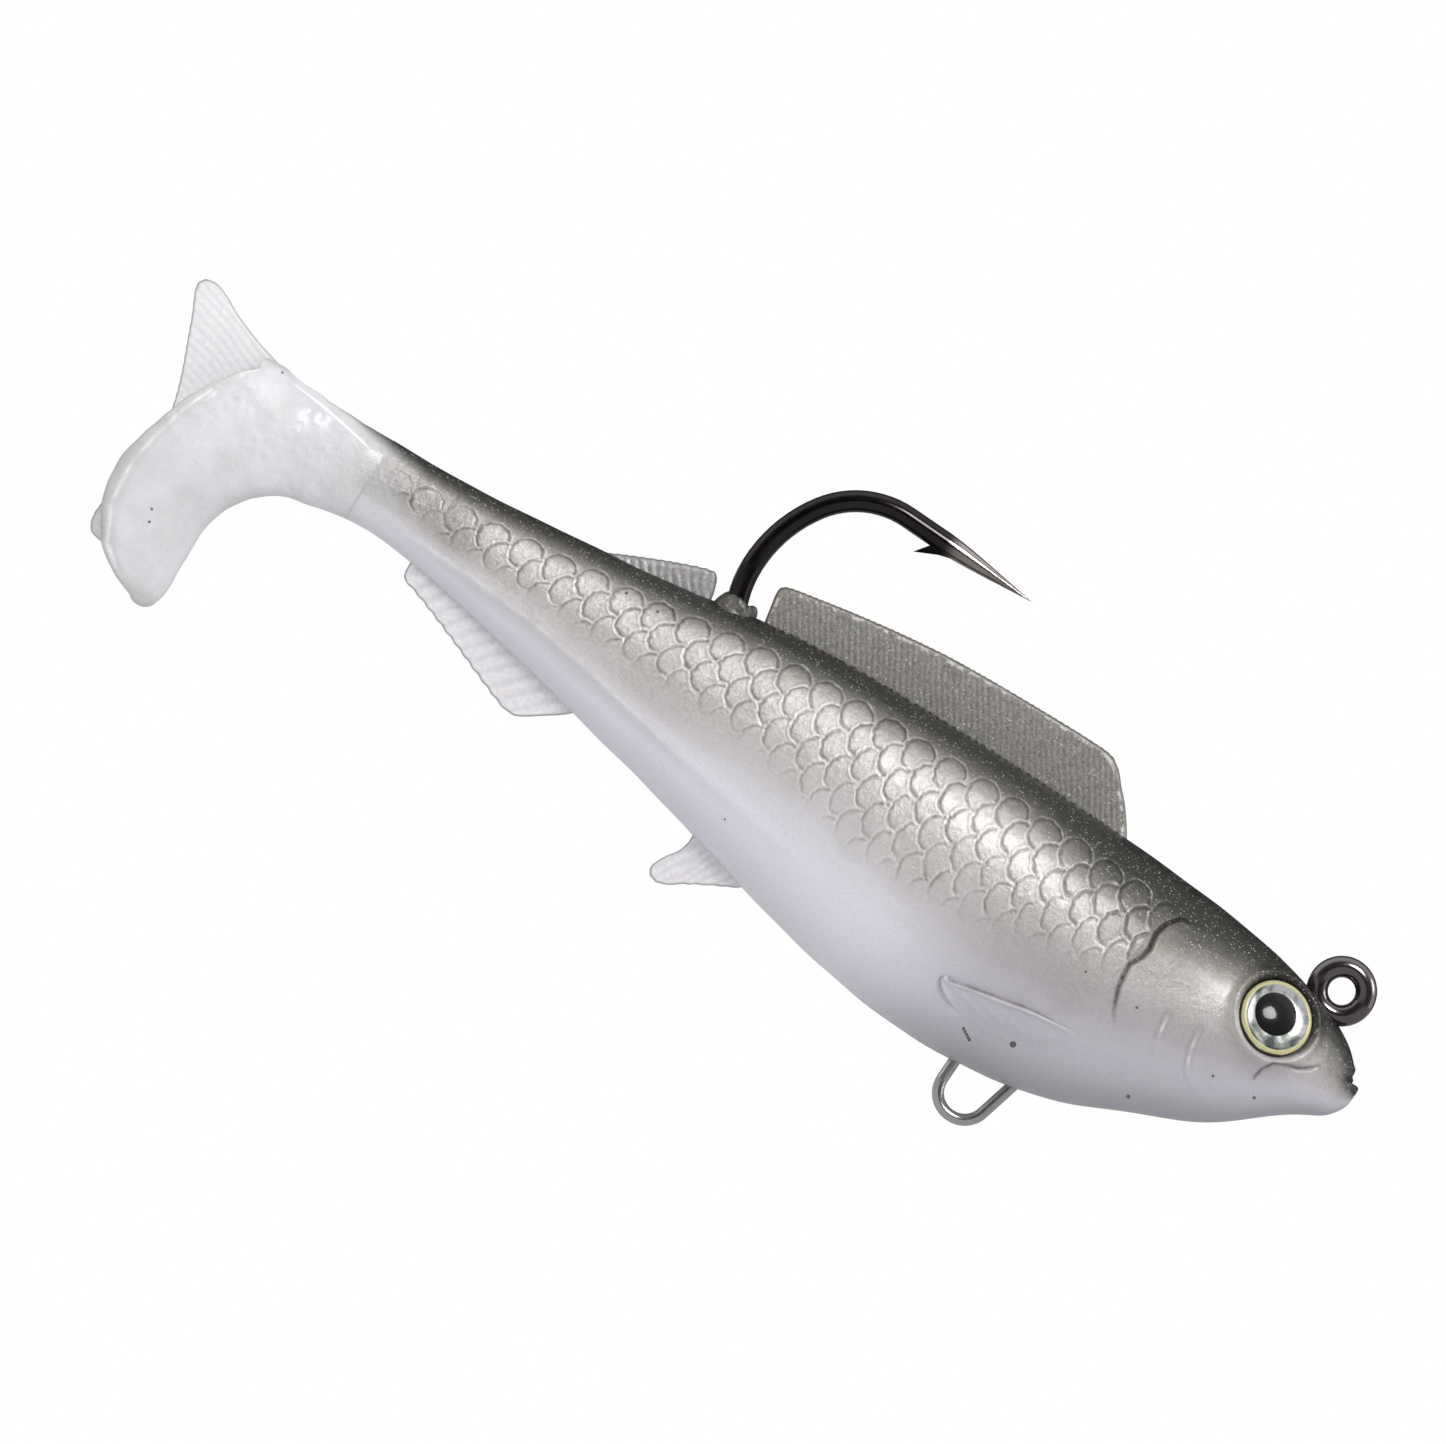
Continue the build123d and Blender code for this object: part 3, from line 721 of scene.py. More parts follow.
def eye_black():
    m = Nodes("eye_black_print")
    grain = m.noise(m.attribute("rest", "Vector"), 6.0, 2.0)
    return m.principled({
        "Base Color": m.mix(grain, (0.003, 0.003, 0.004), (0.007, 0.007, 0.008)),
        "Roughness": m.range(grain, 0.3, 0.7, 0.5, 0.6),
        "IOR": 1.15,
    })


def eye_clear():
    m = Nodes("eye_clear_dome")
    rough = m.range(m.noise(m.attribute("rest", "Vector"), 2.0, 2.0), 0.3, 0.7, 0.11, 0.14)
    return m.principled({"Base Color": (0.02, 0.02, 0.02), "Roughness": rough, "IOR": 2.3, "Alpha": 0.17})


METAL_X = (-0.07, 0.005)
POINT_SHEEN_GREY = (0.42, 0.38, 0.37)
# the spear point and the wire ahead of it, ring included, are painted lighter than the bend: painted
# reflection on the same black nickel
BLACK_NICKEL = [(-0.0514, (0.050, 0.044, 0.047)), (-0.0502, POINT_SHEEN_GREY), (-0.040, POINT_SHEEN_GREY),
                (-0.030, (0.21, 0.187, 0.198))]
BRIGHT_NICKEL = [(x, (0.66, 0.65, 0.63)) for x in METAL_X]
CAST_LEAD = [(x, (0.26, 0.26, 0.28)) for x in METAL_X]


def metal(name, colours, rough):
    """Metal with faint drawing lines and small variation; its colours are given along x."""
    m = Nodes(name)
    where = m.node("TexCoord").outputs["Object"]
    streak = m.noise(where, 900.0, 3.0, 0.6)
    start, end = METAL_X
    stops = [((x - start) / (end - start), colour) for x, colour in colours]
    colour = m.ramp(m.range(m.part(where, "X"), start, end), stops, "LINEAR")
    return m.principled({
        "Base Color": m.tint(m.range(m.noise(where, 160.0, 2.0), 0.35, 0.65), colour, (0.78, 0.77, 0.78)),
        "Metallic": 1.0,
        "Roughness": m.range(streak, 0.3, 0.7, rough, rough + 0.08),
        "Normal": m.bump(streak, 0.03, 0.00001),
    })


# ---------------------------------------------------------------- skin pieces
body_material = soft_body()
pieces = {}
skin_points, skin_normals, skin_values, ring_x = build_skin()
for name, low, high in (
    ("skin_head", HEAD_CUT, 99.0),
    ("skin_front", FRONT_CUT, HEAD_CUT),
    ("skin_middle", MIDDLE_CUT, FRONT_CUT),
    ("skin_rear", REAR_CUT, MIDDLE_CUT),
):
    inside = np.nonzero((ring_x <= high) & (ring_x >= low))[0]
    rows = np.arange(inside[0], min(inside[-1] + 2, len(ring_x)))
    values = {key: value[rows] for key, value in skin_values.items()}
    piece = grid_mesh(name, skin_points[rows], values, body_material, cap=name == "skin_head")
    face_out(piece, skin_normals[rows])
    # shading normals come from the whole skin, so that its cuts don't show
    shading = skin_normals[rows].reshape(-1, 3).tolist()
    if name == "skin_head":
        shading.append([1.0, 0.0, 0.0])
    piece.data.normals_split_custom_set_from_vertices(shading)
    pieces[name] = piece

# ---------------------------------------------------------------- tail
# outline of the cup by height: z, front line on the middle plane, rear edge at the sides
CUP = np.array([
    (-27.75, -109.9, -111.2),
    (-27.3, -109.1, -112.7),
    (-26.0, -108.75, -115.0),
    (-24.6, -108.7, -116.6),
    (-21.5, -108.8, -118.1),
    (-19.6, -108.8, -118.4),
    (-17.7, -108.4, -118.5),
    (-15.9, -107.3, -118.35),
    (-13.9, -105.7, -118.0),
    (-12.6, -104.9, -117.7),
    (-10.2, -104.6, -117.0),
    (-7.7, -104.9, -115.9),
    (-4.9, -106.0, -114.2),
    (-3.6, -107.6, -113.2),
    (-2.75, -110.0, -111.4),
])
CUP_MIDDLE_Z, CUP_HALF = -16.5, 9.0
CUP_RISE, CUP_DROP = 13.85, 11.3  # from the middle height up and down
CUP_RIM, CUP_CURVE = 1.5, 1.45  # thickness at the rim, and how the sheet curves back
CUP_TRIM = 1.0  # what the rounded rim loses
CUP_HEART_X = -111.8  # rear face of the thick middle


def cup_half_width(z):
    reach = np.where(z > CUP_MIDDLE_Z, CUP_RISE, CUP_DROP)
    return CUP_HALF * np.sqrt(np.clip(1 - ((z - CUP_MIDDLE_Z) / reach) ** 2, 0.004, 1))


def cup_wall(z, share):
    """Outer face and thickness of the wall, at a height and a share of the way to the side."""
    front, rear = (np.interp(z, CUP[:, 0], CUP[:, i]) for i in (1, 2))
    thick = np.maximum(CUP_RIM, front - CUP_HEART_X)
    outer = front + (rear + CUP_RIM - CUP_TRIM - front) * share**CUP_CURVE
    return outer, thick + (CUP_RIM - thick) * step(0.06, 0.42, share)


def cup_form():
    """Points and faces of the cup: an outer and an inner grid, joined round the rim."""
    spans = ((-27.75, -25, 14), (-25, -5, 50), (-5, -2.75, 12))
    z = np.unique(np.concatenate([np.linspace(*span) for span in spans]))[:, None]
    q = np.sin(np.linspace(-np.pi / 2, np.pi / 2, 61))
    x, thick = cup_wall(z, np.abs(q))
    grids = [np.stack([face_x, cup_half_width(z) * q, z + 0 * q], axis=-1) for face_x in (x, x - thick)]
    n, m = x.shape
    faces = []
    for layer in (0, n * m):
        for i in range(n - 1):
            for j in range(m - 1):
                a = layer + i * m + j
                quad = [a, a + 1, a + m + 1, a + m]
                faces.append(quad if layer else quad[::-1])
    rim = [(i, 0) for i in range(n)] + [(n - 1, j) for j in range(1, m)]
    rim += [(i, m - 1) for i in range(n - 2, -1, -1)] + [(0, j) for j in range(m - 2, 0, -1)]
    for (i0, j0), (i1, j1) in zip(rim, rim[1:] + rim[:1]):
        a, b = i0 * m + j0, i1 * m + j1
        faces.append([a, b, b + n * m, a + n * m])
    return np.concatenate(grids).reshape(-1, 3), faces


def stalk_form(x_from, x_to, count=60, around=72):
    """Points and faces of the stalk, as a closed tube between two places."""
    t = np.linspace(0, STATION_T[-1], 4000)
    x = stations_at(t)[:, 0]
    keep = t[(x <= x_from) & (x >= x_to)]
    keep = keep[:: max(1, len(keep) // count)]
    base, _ = skin_grid(keep, np.linspace(0, TURN, around + 1)[:-1])
    n, m = base.shape[:2]
    faces = [[i * m + j, (i + 1) * m + j, (i + 1) * m + (j + 1) % m, i * m + (j + 1) % m]
             for i in range(n - 1) for j in range(m)]
    faces += [[(n - 1) * m + j for j in range(m)], list(range(m))[::-1]]
    return base.reshape(-1, 3), faces


def relax(co, edges, amount, rounds=1):
    """Move each point towards the mean of its neighbours."""
    count = np.bincount(edges.ravel(), minlength=len(co))[:, None]
    for _ in range(rounds):
        total = np.zeros_like(co)
        for a, b in (edges.T, edges.T[::-1]):
            for axis in range(3):
                total[:, axis] += np.bincount(a, co[b, axis], len(co))
        co = co + amount * (total / count - co)
    return co


def tail_form():
    """A mesh of stalk and cup grown together by remeshing."""
    cup_points, cup_faces = cup_form()
    stalk_points, stalk_faces = stalk_form(-95.0, -111.3)
    faces = cup_faces + [[i + len(cup_points) for i in face] for face in stalk_faces]
    mesh = bpy.data.meshes.new("tail_form")
    mesh.from_pydata((np.concatenate([cup_points, stalk_points]) * MM).tolist(), [], faces)
    form = outward(link("tail_form", mesh))
    grow = form.modifiers.new("grow", "REMESH")
    grow.mode = "VOXEL"
    grow.voxel_size = 0.22 * MM
    grown = bpy.data.meshes.new_from_object(form.evaluated_get(bpy.context.evaluated_depsgraph_get()))
    bpy.data.objects.remove(form)
    grown.name = "skin_tail"
    return grown


def smooth_tail(co, edges):
    """Take the voxel steps out of the grown form, fillet it, and round the cup's rim; all in mm."""
    for _ in range(30):  # the two amounts together smooth without shrinking
        co = relax(relax(co, edges, 0.5), edges, -0.52)
    # the corner of stalk and cup becomes a soft fillet
    x, y, z = co.T
    corner = step(-102.3, -104.5, x) * step(-112.5, -111.0, x) * (1 - step(4.2, 6.4, np.abs(y)))
    corner *= between(z, -19.5, -16.5, -5.0, -3.8)
    linked = edges[(corner[edges] > 0).any(axis=1)]
    near, local = np.unique(linked, return_inverse=True)
    co[near] = relax(co[near], local.reshape(-1, 2), 0.5 * corner[near][:, None], 260)
    co = relax(co, edges, 0.5, 4)
    # the cup's free part goes onto its own sheet, with a half-round rim
    x, y, z = co.T
    reach = np.where(z > CUP_MIDDLE_Z, CUP_RISE, CUP_DROP)
    spread, lift = y / CUP_HALF, (z - CUP_MIDDLE_Z) / reach
    rho = np.maximum(np.hypot(spread, lift), 1e-6)
    grad = np.hypot(spread / CUP_HALF, lift / reach) / rho
    ny, nz = spread / CUP_HALF / rho / grad, lift / reach / rho / grad
    inset = (1 - rho) / grad

    def sheet(depth):
        """Middle and thickness of the wall, at a depth inside its outline."""
        yy, zz = y - ny * (depth - inset), z - nz * (depth - inset)
        outer, thick = cup_wall(zz, np.clip(np.abs(yy) / cup_half_width(zz), 0, 1))
        return outer - thick / 2, thick

    shallow = 0.55
    thick = sheet(shallow)[1]
    deep = shallow + np.clip(thick / 2 - CUP_RIM / 2, 0, 2)
    rim_x = sheet(deep)[0]
    slope = (sheet(deep + 0.4)[0] - rim_x) / 0.4
    radius = thick / 2 / np.hypot(1, slope)
    dx, de = x - rim_x, inset - deep
    away = np.maximum(np.hypot(dx, de), 1e-6)
    past = dx * slope + de < 0
    middle, thick = sheet(inset)
    goal_x = np.where(past, rim_x + dx / away * radius, middle + np.sign(x - middle) * thick / 2)
    moved = np.where(past, deep + de / away * radius - inset, 0.0)
    goal = np.stack([goal_x, y - ny * moved, z - nz * moved], axis=-1)
    free = np.maximum(step(0.5, 0.78, np.abs(y) / cup_half_width(z)), step(-20.0, -22.0, z))
    free *= step(-103.5, -107.5, x) * step(-3.0, -3.8, z)
    return relax(co + (goal - co) * free[:, None], edges, 0.5, 3)


def vertex_rows(mesh, key):
    rows = np.zeros(len(mesh.vertices) * 3)
    mesh.vertices.foreach_get(key, rows)
    return rows.reshape(-1, 3)


RIDGE_LEDGE = [(-110.0, -3.75), (-104.7, -4.1), (-99.7, -4.95), (-98.0, -5.3)]


def build_tail():
    """Stalk and cup as one skin, cut where the body's skin ends, with fine relief."""
    mesh = tail_form()
    bm = bmesh.new()
    bm.from_mesh(mesh)
    edges = np.array([(e.verts[0].index, e.verts[1].index) for e in bm.edges])
    co = smooth_tail(np.array([v.co[:] for v in bm.verts]) / MM, edges)
    for v, place in zip(bm.verts, co * MM):
        v.co = place
    everything = bm.verts[:] + bm.edges[:] + bm.faces[:]
    plane = {"plane_co": (REAR_CUT * MM, 0, 0), "plane_no": (1, 0, 0)}
    bmesh.ops.bisect_plane(bm, geom=everything, clear_outer=True, **plane)
    bm.normal_update()
    bm.to_mesh(mesh)
    bm.free()
    co, normal = vertex_rows(mesh, "co") / MM, vertex_rows(mesh, "normal")
    x, y, z = co.T
    # back onto the body's own sections near the cut
    half, widest, tall = section(x, z)
    c, s = (z - widest) / tall, y / half
    r = np.maximum(np.hypot(c, s), 1e-6)
    exact = np.stack([x, half * s / r, widest + tall * c / r], axis=-1)
    slope = unit(np.stack([0.02 * np.ones(len(x)), s / r / half, c / r / tall], axis=-1))
    w = step(-102.0, -100.2, x)[:, None]
    co = co * (1 - w) + exact * w
    normal = normal * (1 - w) + slope * w
    # relief: a bead along the rear edge, a ledge under the ridge, ripples in the milky part
    rear = np.interp(z, CUP[:, 0], CUP[:, 2])
    outer, _ = cup_wall(z, np.clip(np.abs(y) / cup_half_width(z), 0, 1))
    outer_side = step(-0.55 * CUP_RIM, -0.2 * CUP_RIM, x - outer)
    out = np.minimum(x - rear, 1.3 * (z + 27.8)) - 0.4
    cupped = step(-107.0, -110.0, x) * outer_side * step(-3.2, -4.5, z) * step(-27.0, -25.5, z)
    h = cupped * (0.12 * bell(out, 0.3, 0.4) - 0.10 * bell(out, 1.1, 0.4))
    d, along, side = to_line(x, z, RIDGE_LEDGE)
    h -= 0.14 * step(-0.45, 0.45, d * side) * np.exp(-d / 1.2) * between(along, 0.02, 0.2, 0.85, 1.0)
    ripple = smooth_noise(x, z, 1.6, 21) * smooth_noise(x, z, 5.0, 22)
    h += 0.07 * ripple * step(-99.5, -103.0, x) * (1 - step(-11.0, -13.5, z))
    h += 0.05 * smooth_noise(x, z, 3.4, 23) * step(-100.0, -104.0, x) + swell(x, z)
    co = co + normal * h[:, None]
    mesh.vertices.foreach_set("co", (co * MM).ravel())
    edge = step(-107.0, -110.0, x) * np.exp(-((np.clip(out, 0, 9) / 1.4) ** 4))
    # painted highlight in a line along the rim, about 1.3 mm in from the rear edge, with faint painted shade
    # nearer the edge
    line = cupped * (1.1 * bell(out, 0.95, 0.2) - 0.2 * bell(out, 0.3, 0.4))
    put_values(mesh, {"rest": co, "line": line, "edge": edge} | shades(x, z))
    mesh.materials.clear()
    finish_mesh(mesh, body_material)
    near_cut = step(-101.0, -99.5, x)[:, None]
    shading = unit(vertex_rows(mesh, "normal") * (1 - near_cut) + slope * near_cut)
    mesh.normals_split_custom_set_from_vertices(shading.tolist())
    return link("skin_tail", mesh)


pieces["skin_tail"] = build_tail()

# ---------------------------------------------------------------- fins on the middle plane
FIN_GRID = 0.16


def root_line(start, end, count, edge, sink):
    """Points along the body's top (edge 0) or bottom (edge 1) line, sunk into it."""
    x = np.linspace(start, end, count)
    return np.stack([x, station_by_x(x)[edge] + sink], axis=-1)


def fin(name, material, base, edge, rays, thick, rib_height, ragged):
    """A thin ribbed fin in the plane Y = 0, from a buried root line to its outline.

    rays holds the direction (x, z) in which they follow each other, their pitch, and how far and over
    what length they wander; thick is the half thickness at root and rim.
    """
    direction_x, direction_z, pitch, wander, length, seed = rays

    def rib(x, z):
        phase = (direction_x * x + direction_z * z) / pitch + wander * smooth_noise(x, z, length, seed)
        return np.cos(TURN * phase)

    n = int(np.linalg.norm(np.diff(resample(edge, 60), axis=0), axis=1).sum() / FIN_GRID)
    outer, inner = resample(edge, n), resample(base, n, 0)
    t = np.linspace(0, 1, max(12, int(np.linalg.norm(outer - inner, axis=1).max() / FIN_GRID)))
    along = np.gradient(outer, axis=0)
    out = unit(np.stack([-along[:, 1], along[:, 0]], axis=-1))
    out *= np.sign((out * (outer - inner)).sum(axis=1).mean())
    ends = between(np.linspace(0, 1, n), 0.03, 0.12, 0.88, 0.97)
    outer = outer + out * (ragged * rib(*outer.T) * ends)[:, None]
    p = inner[:, None] * (1 - t[:, None]) + outer[:, None] * t[:, None]
    x, z = p[..., 0], p[..., 1]
    d = to_line(x, z, outer[:: max(1, n // 90)])[0]
    d = np.minimum(d, np.linalg.norm(outer - inner, axis=1)[:, None] * (1 - t))
    half = thick[0] + (thick[1] - thick[0]) * t**0.8
    rounding = np.sqrt(1 - (1 - np.clip(d / 0.3, 0, 1)) ** 2)
    ribs = rib(x, z)
    y = half * rounding + rib_height * ribs * step(0.05, 0.6, d) * step(0.0, 0.25, t)

    def round_rim(near, far):
        return np.concatenate([near, far[:, -2::-1]], axis=1)

    ring = round_rim(np.stack([x, -y, z], axis=-1), np.stack([x, y, z], axis=-1))
    values = {"edge": np.exp(-d / 0.13), "line": ribs, "tone": t * np.ones(x.shape)}
    return outward(grid_mesh(name, ring, {key: round_rim(v, v) for key, v in values.items()}, material))


dark_fin = soft_fin("soft_fin_dark", (0.13, 0.124, 0.112), (0.18, 0.172, 0.16), 0.95, 0.93)
grey_fin = soft_fin("soft_fin_grey", (0.18, 0.175, 0.17), (0.28, 0.275, 0.28), 0.6, 0.85)
clear_fin = soft_fin("soft_fin_clear", (0.68, 0.67, 0.71), (0.74, 0.735, 0.77), 0.08, 0.58)
pale_fin = soft_fin("soft_fin_pale", (0.56, 0.55, 0.595), (0.66, 0.655, 0.70), 0.12, 0.66)
for name, *form in (
    ("fin_dorsal", dark_fin, root_line(-23.6, -61.6, 20, 0, -0.5),
     [(-23.2, 0.6), (-24.2, 2.3), (-25.6, 4.1), (-27.1, 5.75), (-28.0, 6.65), (-28.8, 7.05), (-30.0, 7.18),
      (-34.6, 7.2), (-44.6, 6.95), (-49.5, 6.45), (-54.5, 5.75), (-59.5, 4.85), (-61.3, 4.5), (-62.0, 4.2),
      (-62.2, 3.6), (-61.9, 2.0), (-61.6, 0.3)],
     (1, 0.62, 0.62, 0.25, 7.0, 41), (0.62, 0.26), 0.022, 0.03),
    ("fin_rear_dorsal", grey_fin, root_line(-66.6, -77.6, 10, 0, -0.4),
     [(-66.7, -0.6), (-66.95, 0.7), (-67.35, 1.9), (-68.1, 2.2), (-71.4, 0.95), (-74.4, -0.35),
      (-77.0, -1.55), (-77.6, -2.0)],
     (1, 0.8, 0.95, 0.3, 5.0, 42), (0.55, 0.24), 0.045, 0.03),
    ("fin_anal", pale_fin, root_line(-71.6, -91.6, 14, 1, 0.5),
     [(-71.6, -14.9), (-72.1, -15.7), (-74.4, -17.4), (-76.4, -18.55), (-77.6, -18.4), (-79.4, -17.75),
      (-84.3, -15.75), (-89.3, -13.85), (-91.0, -13.4), (-91.5, -13.0), (-91.55, -11.6)],
     (1, -0.9, 1.75, 0.15, 6.0, 43), (0.5, 0.22), 0.05, 0.05),
    ("fin_pelvic", pale_fin, root_line(-50.4, -57.0, 8, 1, 0.5),
     [(-50.4, -20.2), (-50.9, -20.9), (-52.5, -21.65), (-55.0, -23.0), (-56.7, -24.15), (-57.6, -24.45),
      (-58.5, -24.1), (-58.75, -23.4), (-58.1, -22.0), (-57.25, -20.9), (-56.95, -19.9), (-57.0, -18.8)],
     (1, -0.55, 0.9, 0.2, 4.0, 44), (0.5, 0.22), 0.045, 0.03),
    ("fin_caudal", clear_fin,
     [(-109.0, -4.4), (-110.2, -5.0), (-111.0, -8.0), (-111.4, -14.0), (-111.4, -20.0), (-110.8, -25.5)],
     [(-109.0, -3.4), (-111.2, -2.75), (-113.7, -2.1), (-116.2, -1.15), (-118.1, -0.15), (-119.6, 0.45),
      (-120.7, 0.25), (-121.15, -0.5), (-120.9, -1.4), (-120.1, -2.95), (-119.1, -5.5), (-118.1, -7.9),
      (-117.2, -10.6), (-116.7, -13.5), (-116.9, -17.0), (-117.7, -20.5), (-118.05, -22.3), (-117.95, -23.8),
      (-117.4, -24.6), (-116.5, -24.8), (-114.0, -25.0), (-110.8, -26.3)],
     (0.33, 1, 0.75, 0.35, 8.0, 45), (0.5, 0.26), 0.014, 0.02),
):
    pieces[name] = fin(name, *form)

# ---------------------------------------------------------------- pectoral fins
# folded against the flank, raised along their upper and rear edges
PECTORAL_TOP = [(-16.8, -15.75), (-19.7, -15.7), (-21.7, -15.8), (-23.7, -16.0), (-25.7, -16.5),
                (-27.6, -16.8), (-30.1, -17.3), (-31.4, -17.75)]
PECTORAL_LOW = [(-18.5, -17.5), (-20.5, -19.2), (-23.5, -20.3), (-27.4, -20.5), (-29.6, -19.7),
                (-30.9, -19.0), (-31.6, -18.1)]
PECTORAL_REAR = [(-31.5, -17.75), (-31.65, -18.15), (-30.9, -19.0), (-29.6, -19.7), (-27.4, -20.5)]


def pectoral(name, side):
    upper, lower = resample(PECTORAL_TOP, 90), resample(PECTORAL_LOW, 90)
    t = np.linspace(0, 1, 40)
    p = upper[:, None] * (1 - t[:, None]) + lower[:, None] * t[:, None]
    x, z = p[..., 0], p[..., 1]
    half, widest, tall = section(x, z)
    y = half * np.sqrt(1 - np.clip((z - widest) / tall, -0.999, 0.999) ** 2)
    normal = unit(np.stack([np.zeros(x.shape), y / half**2, (z - widest) / tall**2], axis=-1))
    d_top, along, _ = to_line(x, z, upper[::6])
    d_rear, along_rear, _ = to_line(x, z, resample(PECTORAL_REAR, 20))
    front = step(0.02, 0.5, along)
    crest = 0.16 * bell(d_top, 0.3, 0.3) + 0.32 * np.exp(-d_top / 2.4)
    tail_edge = 0.34 * bell(d_rear, 0.3, 0.5) * (1 - step(0.45, 1.0, along_rear))
    rays = 0.012 * np.cos(TURN * (z + 0.28 * x) / 0.85) * step(0.4, 1.0, d_top)
    fade = 1 - step(0.45, 1.0, t) * (1 - 0.75 * step(-28.5, -30.5, x))
    h = front * fade * (np.maximum(crest, tail_edge) + rays + 0.08) + swell(x, z)
    border = step(0.0, 0.28, np.minimum(np.minimum(d_top, d_rear), np.minimum(t, 1 - t) * 3))
    h = h * border - 0.16 * (1 - border) - 0.05 * (1 - front)
    points = (np.stack([x, y, z], axis=-1) + normal * h[..., None]) * (1, side, 1)
    # painted highlight just under the fin's upper edge, painted shade along that edge where it meets the
    # skin and along the rear corner
    line = front * (0.6 * bell(d_top, 0.42, 0.09) - 1.3 * bell(d_top, 0.2, 0.09))
    line -= 0.9 * bell(d_rear, 0.2, 0.1) * (1 - step(0.1, 0.6, along_rear))
    obj = grid_mesh(name, points, shades(x, z) | {"line": line}, body_material, closed=False)
    face_out(obj, normal * (1, side, 1))
    return obj


for label, side in (("left", 1), ("right", -1)):
    pieces[f"fin_pectoral_{label}"] = pectoral(f"fin_pectoral_{label}", side)

# ---------------------------------------------------------------- eyes
# profiles of (radius, height) over the floor of the eye's pocket
IRIS = [(0.0, 0.24), (1.9, 0.24), (2.3, 0.27), (2.7, 0.40), (2.86, 0.50), (2.95, 0.62), (3.08, 0.70),
        (3.22, 0.69), (3.34, 0.58), (3.44, 0.42), (3.5, 0.2), (3.5, -0.1)]


def dome(radius, low, high, rings=16):
    """Profile of a spherical cap, open by a hair in the middle."""
    rise = high - low
    ball = (radius**2 + rise**2) / (2 * rise)
    r = np.linspace(0, radius, rings)[1:]
    return [(0.0001, high), *((a, high - ball + math.sqrt(ball**2 - a * a)) for a in r)]


foil_material, black_material, clear_material = eye_foil(), eye_black(), eye_clear()
for label, side in (("left", 1), ("right", -1)):
    for kind, profile, material, shift in (
        ("iris", IRIS, foil_material, (0, 0, 0)),
        ("pupil", [*dome(2.05, 0.26, 0.92), (2.05, 0.2)], black_material, (-0.2, -0.12, 0.3)),
        ("lens", [*dome(3.3, 0.66, 1.6), (3.28, 0.6)], clear_material, (0, 0, 0)),
    ):
        centre = (np.array(EYE) + shift) * (1, side, 1)
        look = np.array(EYE_LOOK) * (1, side, 1)
        name = f"eye_{kind}_{label}"
        pieces[name] = lathe(name, profile, centre, look, material)

# ---------------------------------------------------------------- ragged collar round the hook
COLLAR_HEIGHT = (-1.6, -1.0, -0.4, 0.0, 0.35, 0.65, 0.9, 1.08, 1.18, 1.2, 1.1)
COLLAR_RADIUS = (2.6, 2.2, 1.85, 1.75, 1.7, 1.62, 1.52, 1.4, 1.26, 1.1, 0.95)
COLLAR_X = -64.45


def collar():
    rows, a = np.meshgrid(np.linspace(0, 10, 41), np.linspace(0, TURN, 97)[:-1], indexing="ij")
    height, r = (np.interp(rows, np.arange(11), profile) for profile in (COLLAR_HEIGHT, COLLAR_RADIUS))
    lump = 0.6 * np.sin(2 * a + 1.0) + 0.45 * np.sin(5 * a + height * 2.0)
    lump = lump + 0.35 * smooth_noise(9 * np.cos(a), 9 * np.sin(a) + 3 * height, 6.0, 51)
    r = r * (1 + 0.08 * lump * step(-0.8, 0.2, height))
    frayed = np.sin(3 * a + 0.7) + 0.7 * smooth_noise(7 * np.cos(a), 7 * np.sin(a), 5.0, 52)
    z = height + 0.16 * step(0.2, 1.0, height) * frayed
    points = np.stack([COLLAR_X + 1.12 * r * np.cos(a), r * np.sin(a), z], axis=-1)
    # the line value paints the lumps a little lighter and the hollows between them a little darker: painted
    # highlight and shade
    values = {"tone": 0.36 + 0 * z, "line": 0.08 * lump}
    return outward(grid_mesh("collar_lump", points, values, body_material))


pieces["collar_lump"] = collar()

# ---------------------------------------------------------------- metal nodes
for node, material in (
    ("jig_hook", metal("black_nickel_wire", BLACK_NICKEL, 0.12)),
    ("belly_hanger", metal("bright_nickel_wire", BRIGHT_NICKEL, 0.14)),
    ("lead_weight", metal("cast_lead_weight", CAST_LEAD, 0.45)),
):
    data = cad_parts[node].data
    data.materials.clear()
    data.materials.append(material)

# ---------------------------------------------------------------- camera, lights, floor
ROLL = math.radians(32.0)
VIEW_CENTRE = Vector((-60.06, 0.0, -8.96)) * MM
FRAME_WIDTH = 130.14 * MM
camera_data = bpy.data.cameras.new("camera")
camera_data.lens = 400.0
camera_data.sensor_width = 36.0
camera_data.clip_start = 0.01
camera_data.clip_end = 100.0
camera = link("camera", camera_data)
distance = FRAME_WIDTH * camera_data.lens / camera_data.sensor_width
right = Vector((math.cos(ROLL), 0, math.sin(ROLL)))
up = Vector((-math.sin(ROLL), 0, math.cos(ROLL)))
back = right.cross(up)
turned = Matrix((right, up, back)).transposed().to_4x4()
camera.matrix_world = Matrix.Translation(VIEW_CENTRE + back * distance) @ turned
bpy.context.scene.camera = camera
bpy.context.scene.view_settings.view_transform = "Standard"

LIGHT_AIM = Vector((-0.055, 0, -0.01))
for name, place, size, power in (
    ("key", (0.075, -0.775, 0.585), 0.36, 5.7),
    ("front", (0.70, -0.10, 0.60), 0.45, 2.4),
):
    data = bpy.data.lights.new(name, "AREA")
    data.shape = "ELLIPSE"
    data.size = data.size_y = size
    data.energy = power
    lamp = link(name, data)
    lamp.location = place
    lamp.rotation_euler = (LIGHT_AIM - lamp.location).to_track_quat("-Z", "Y").to_euler()

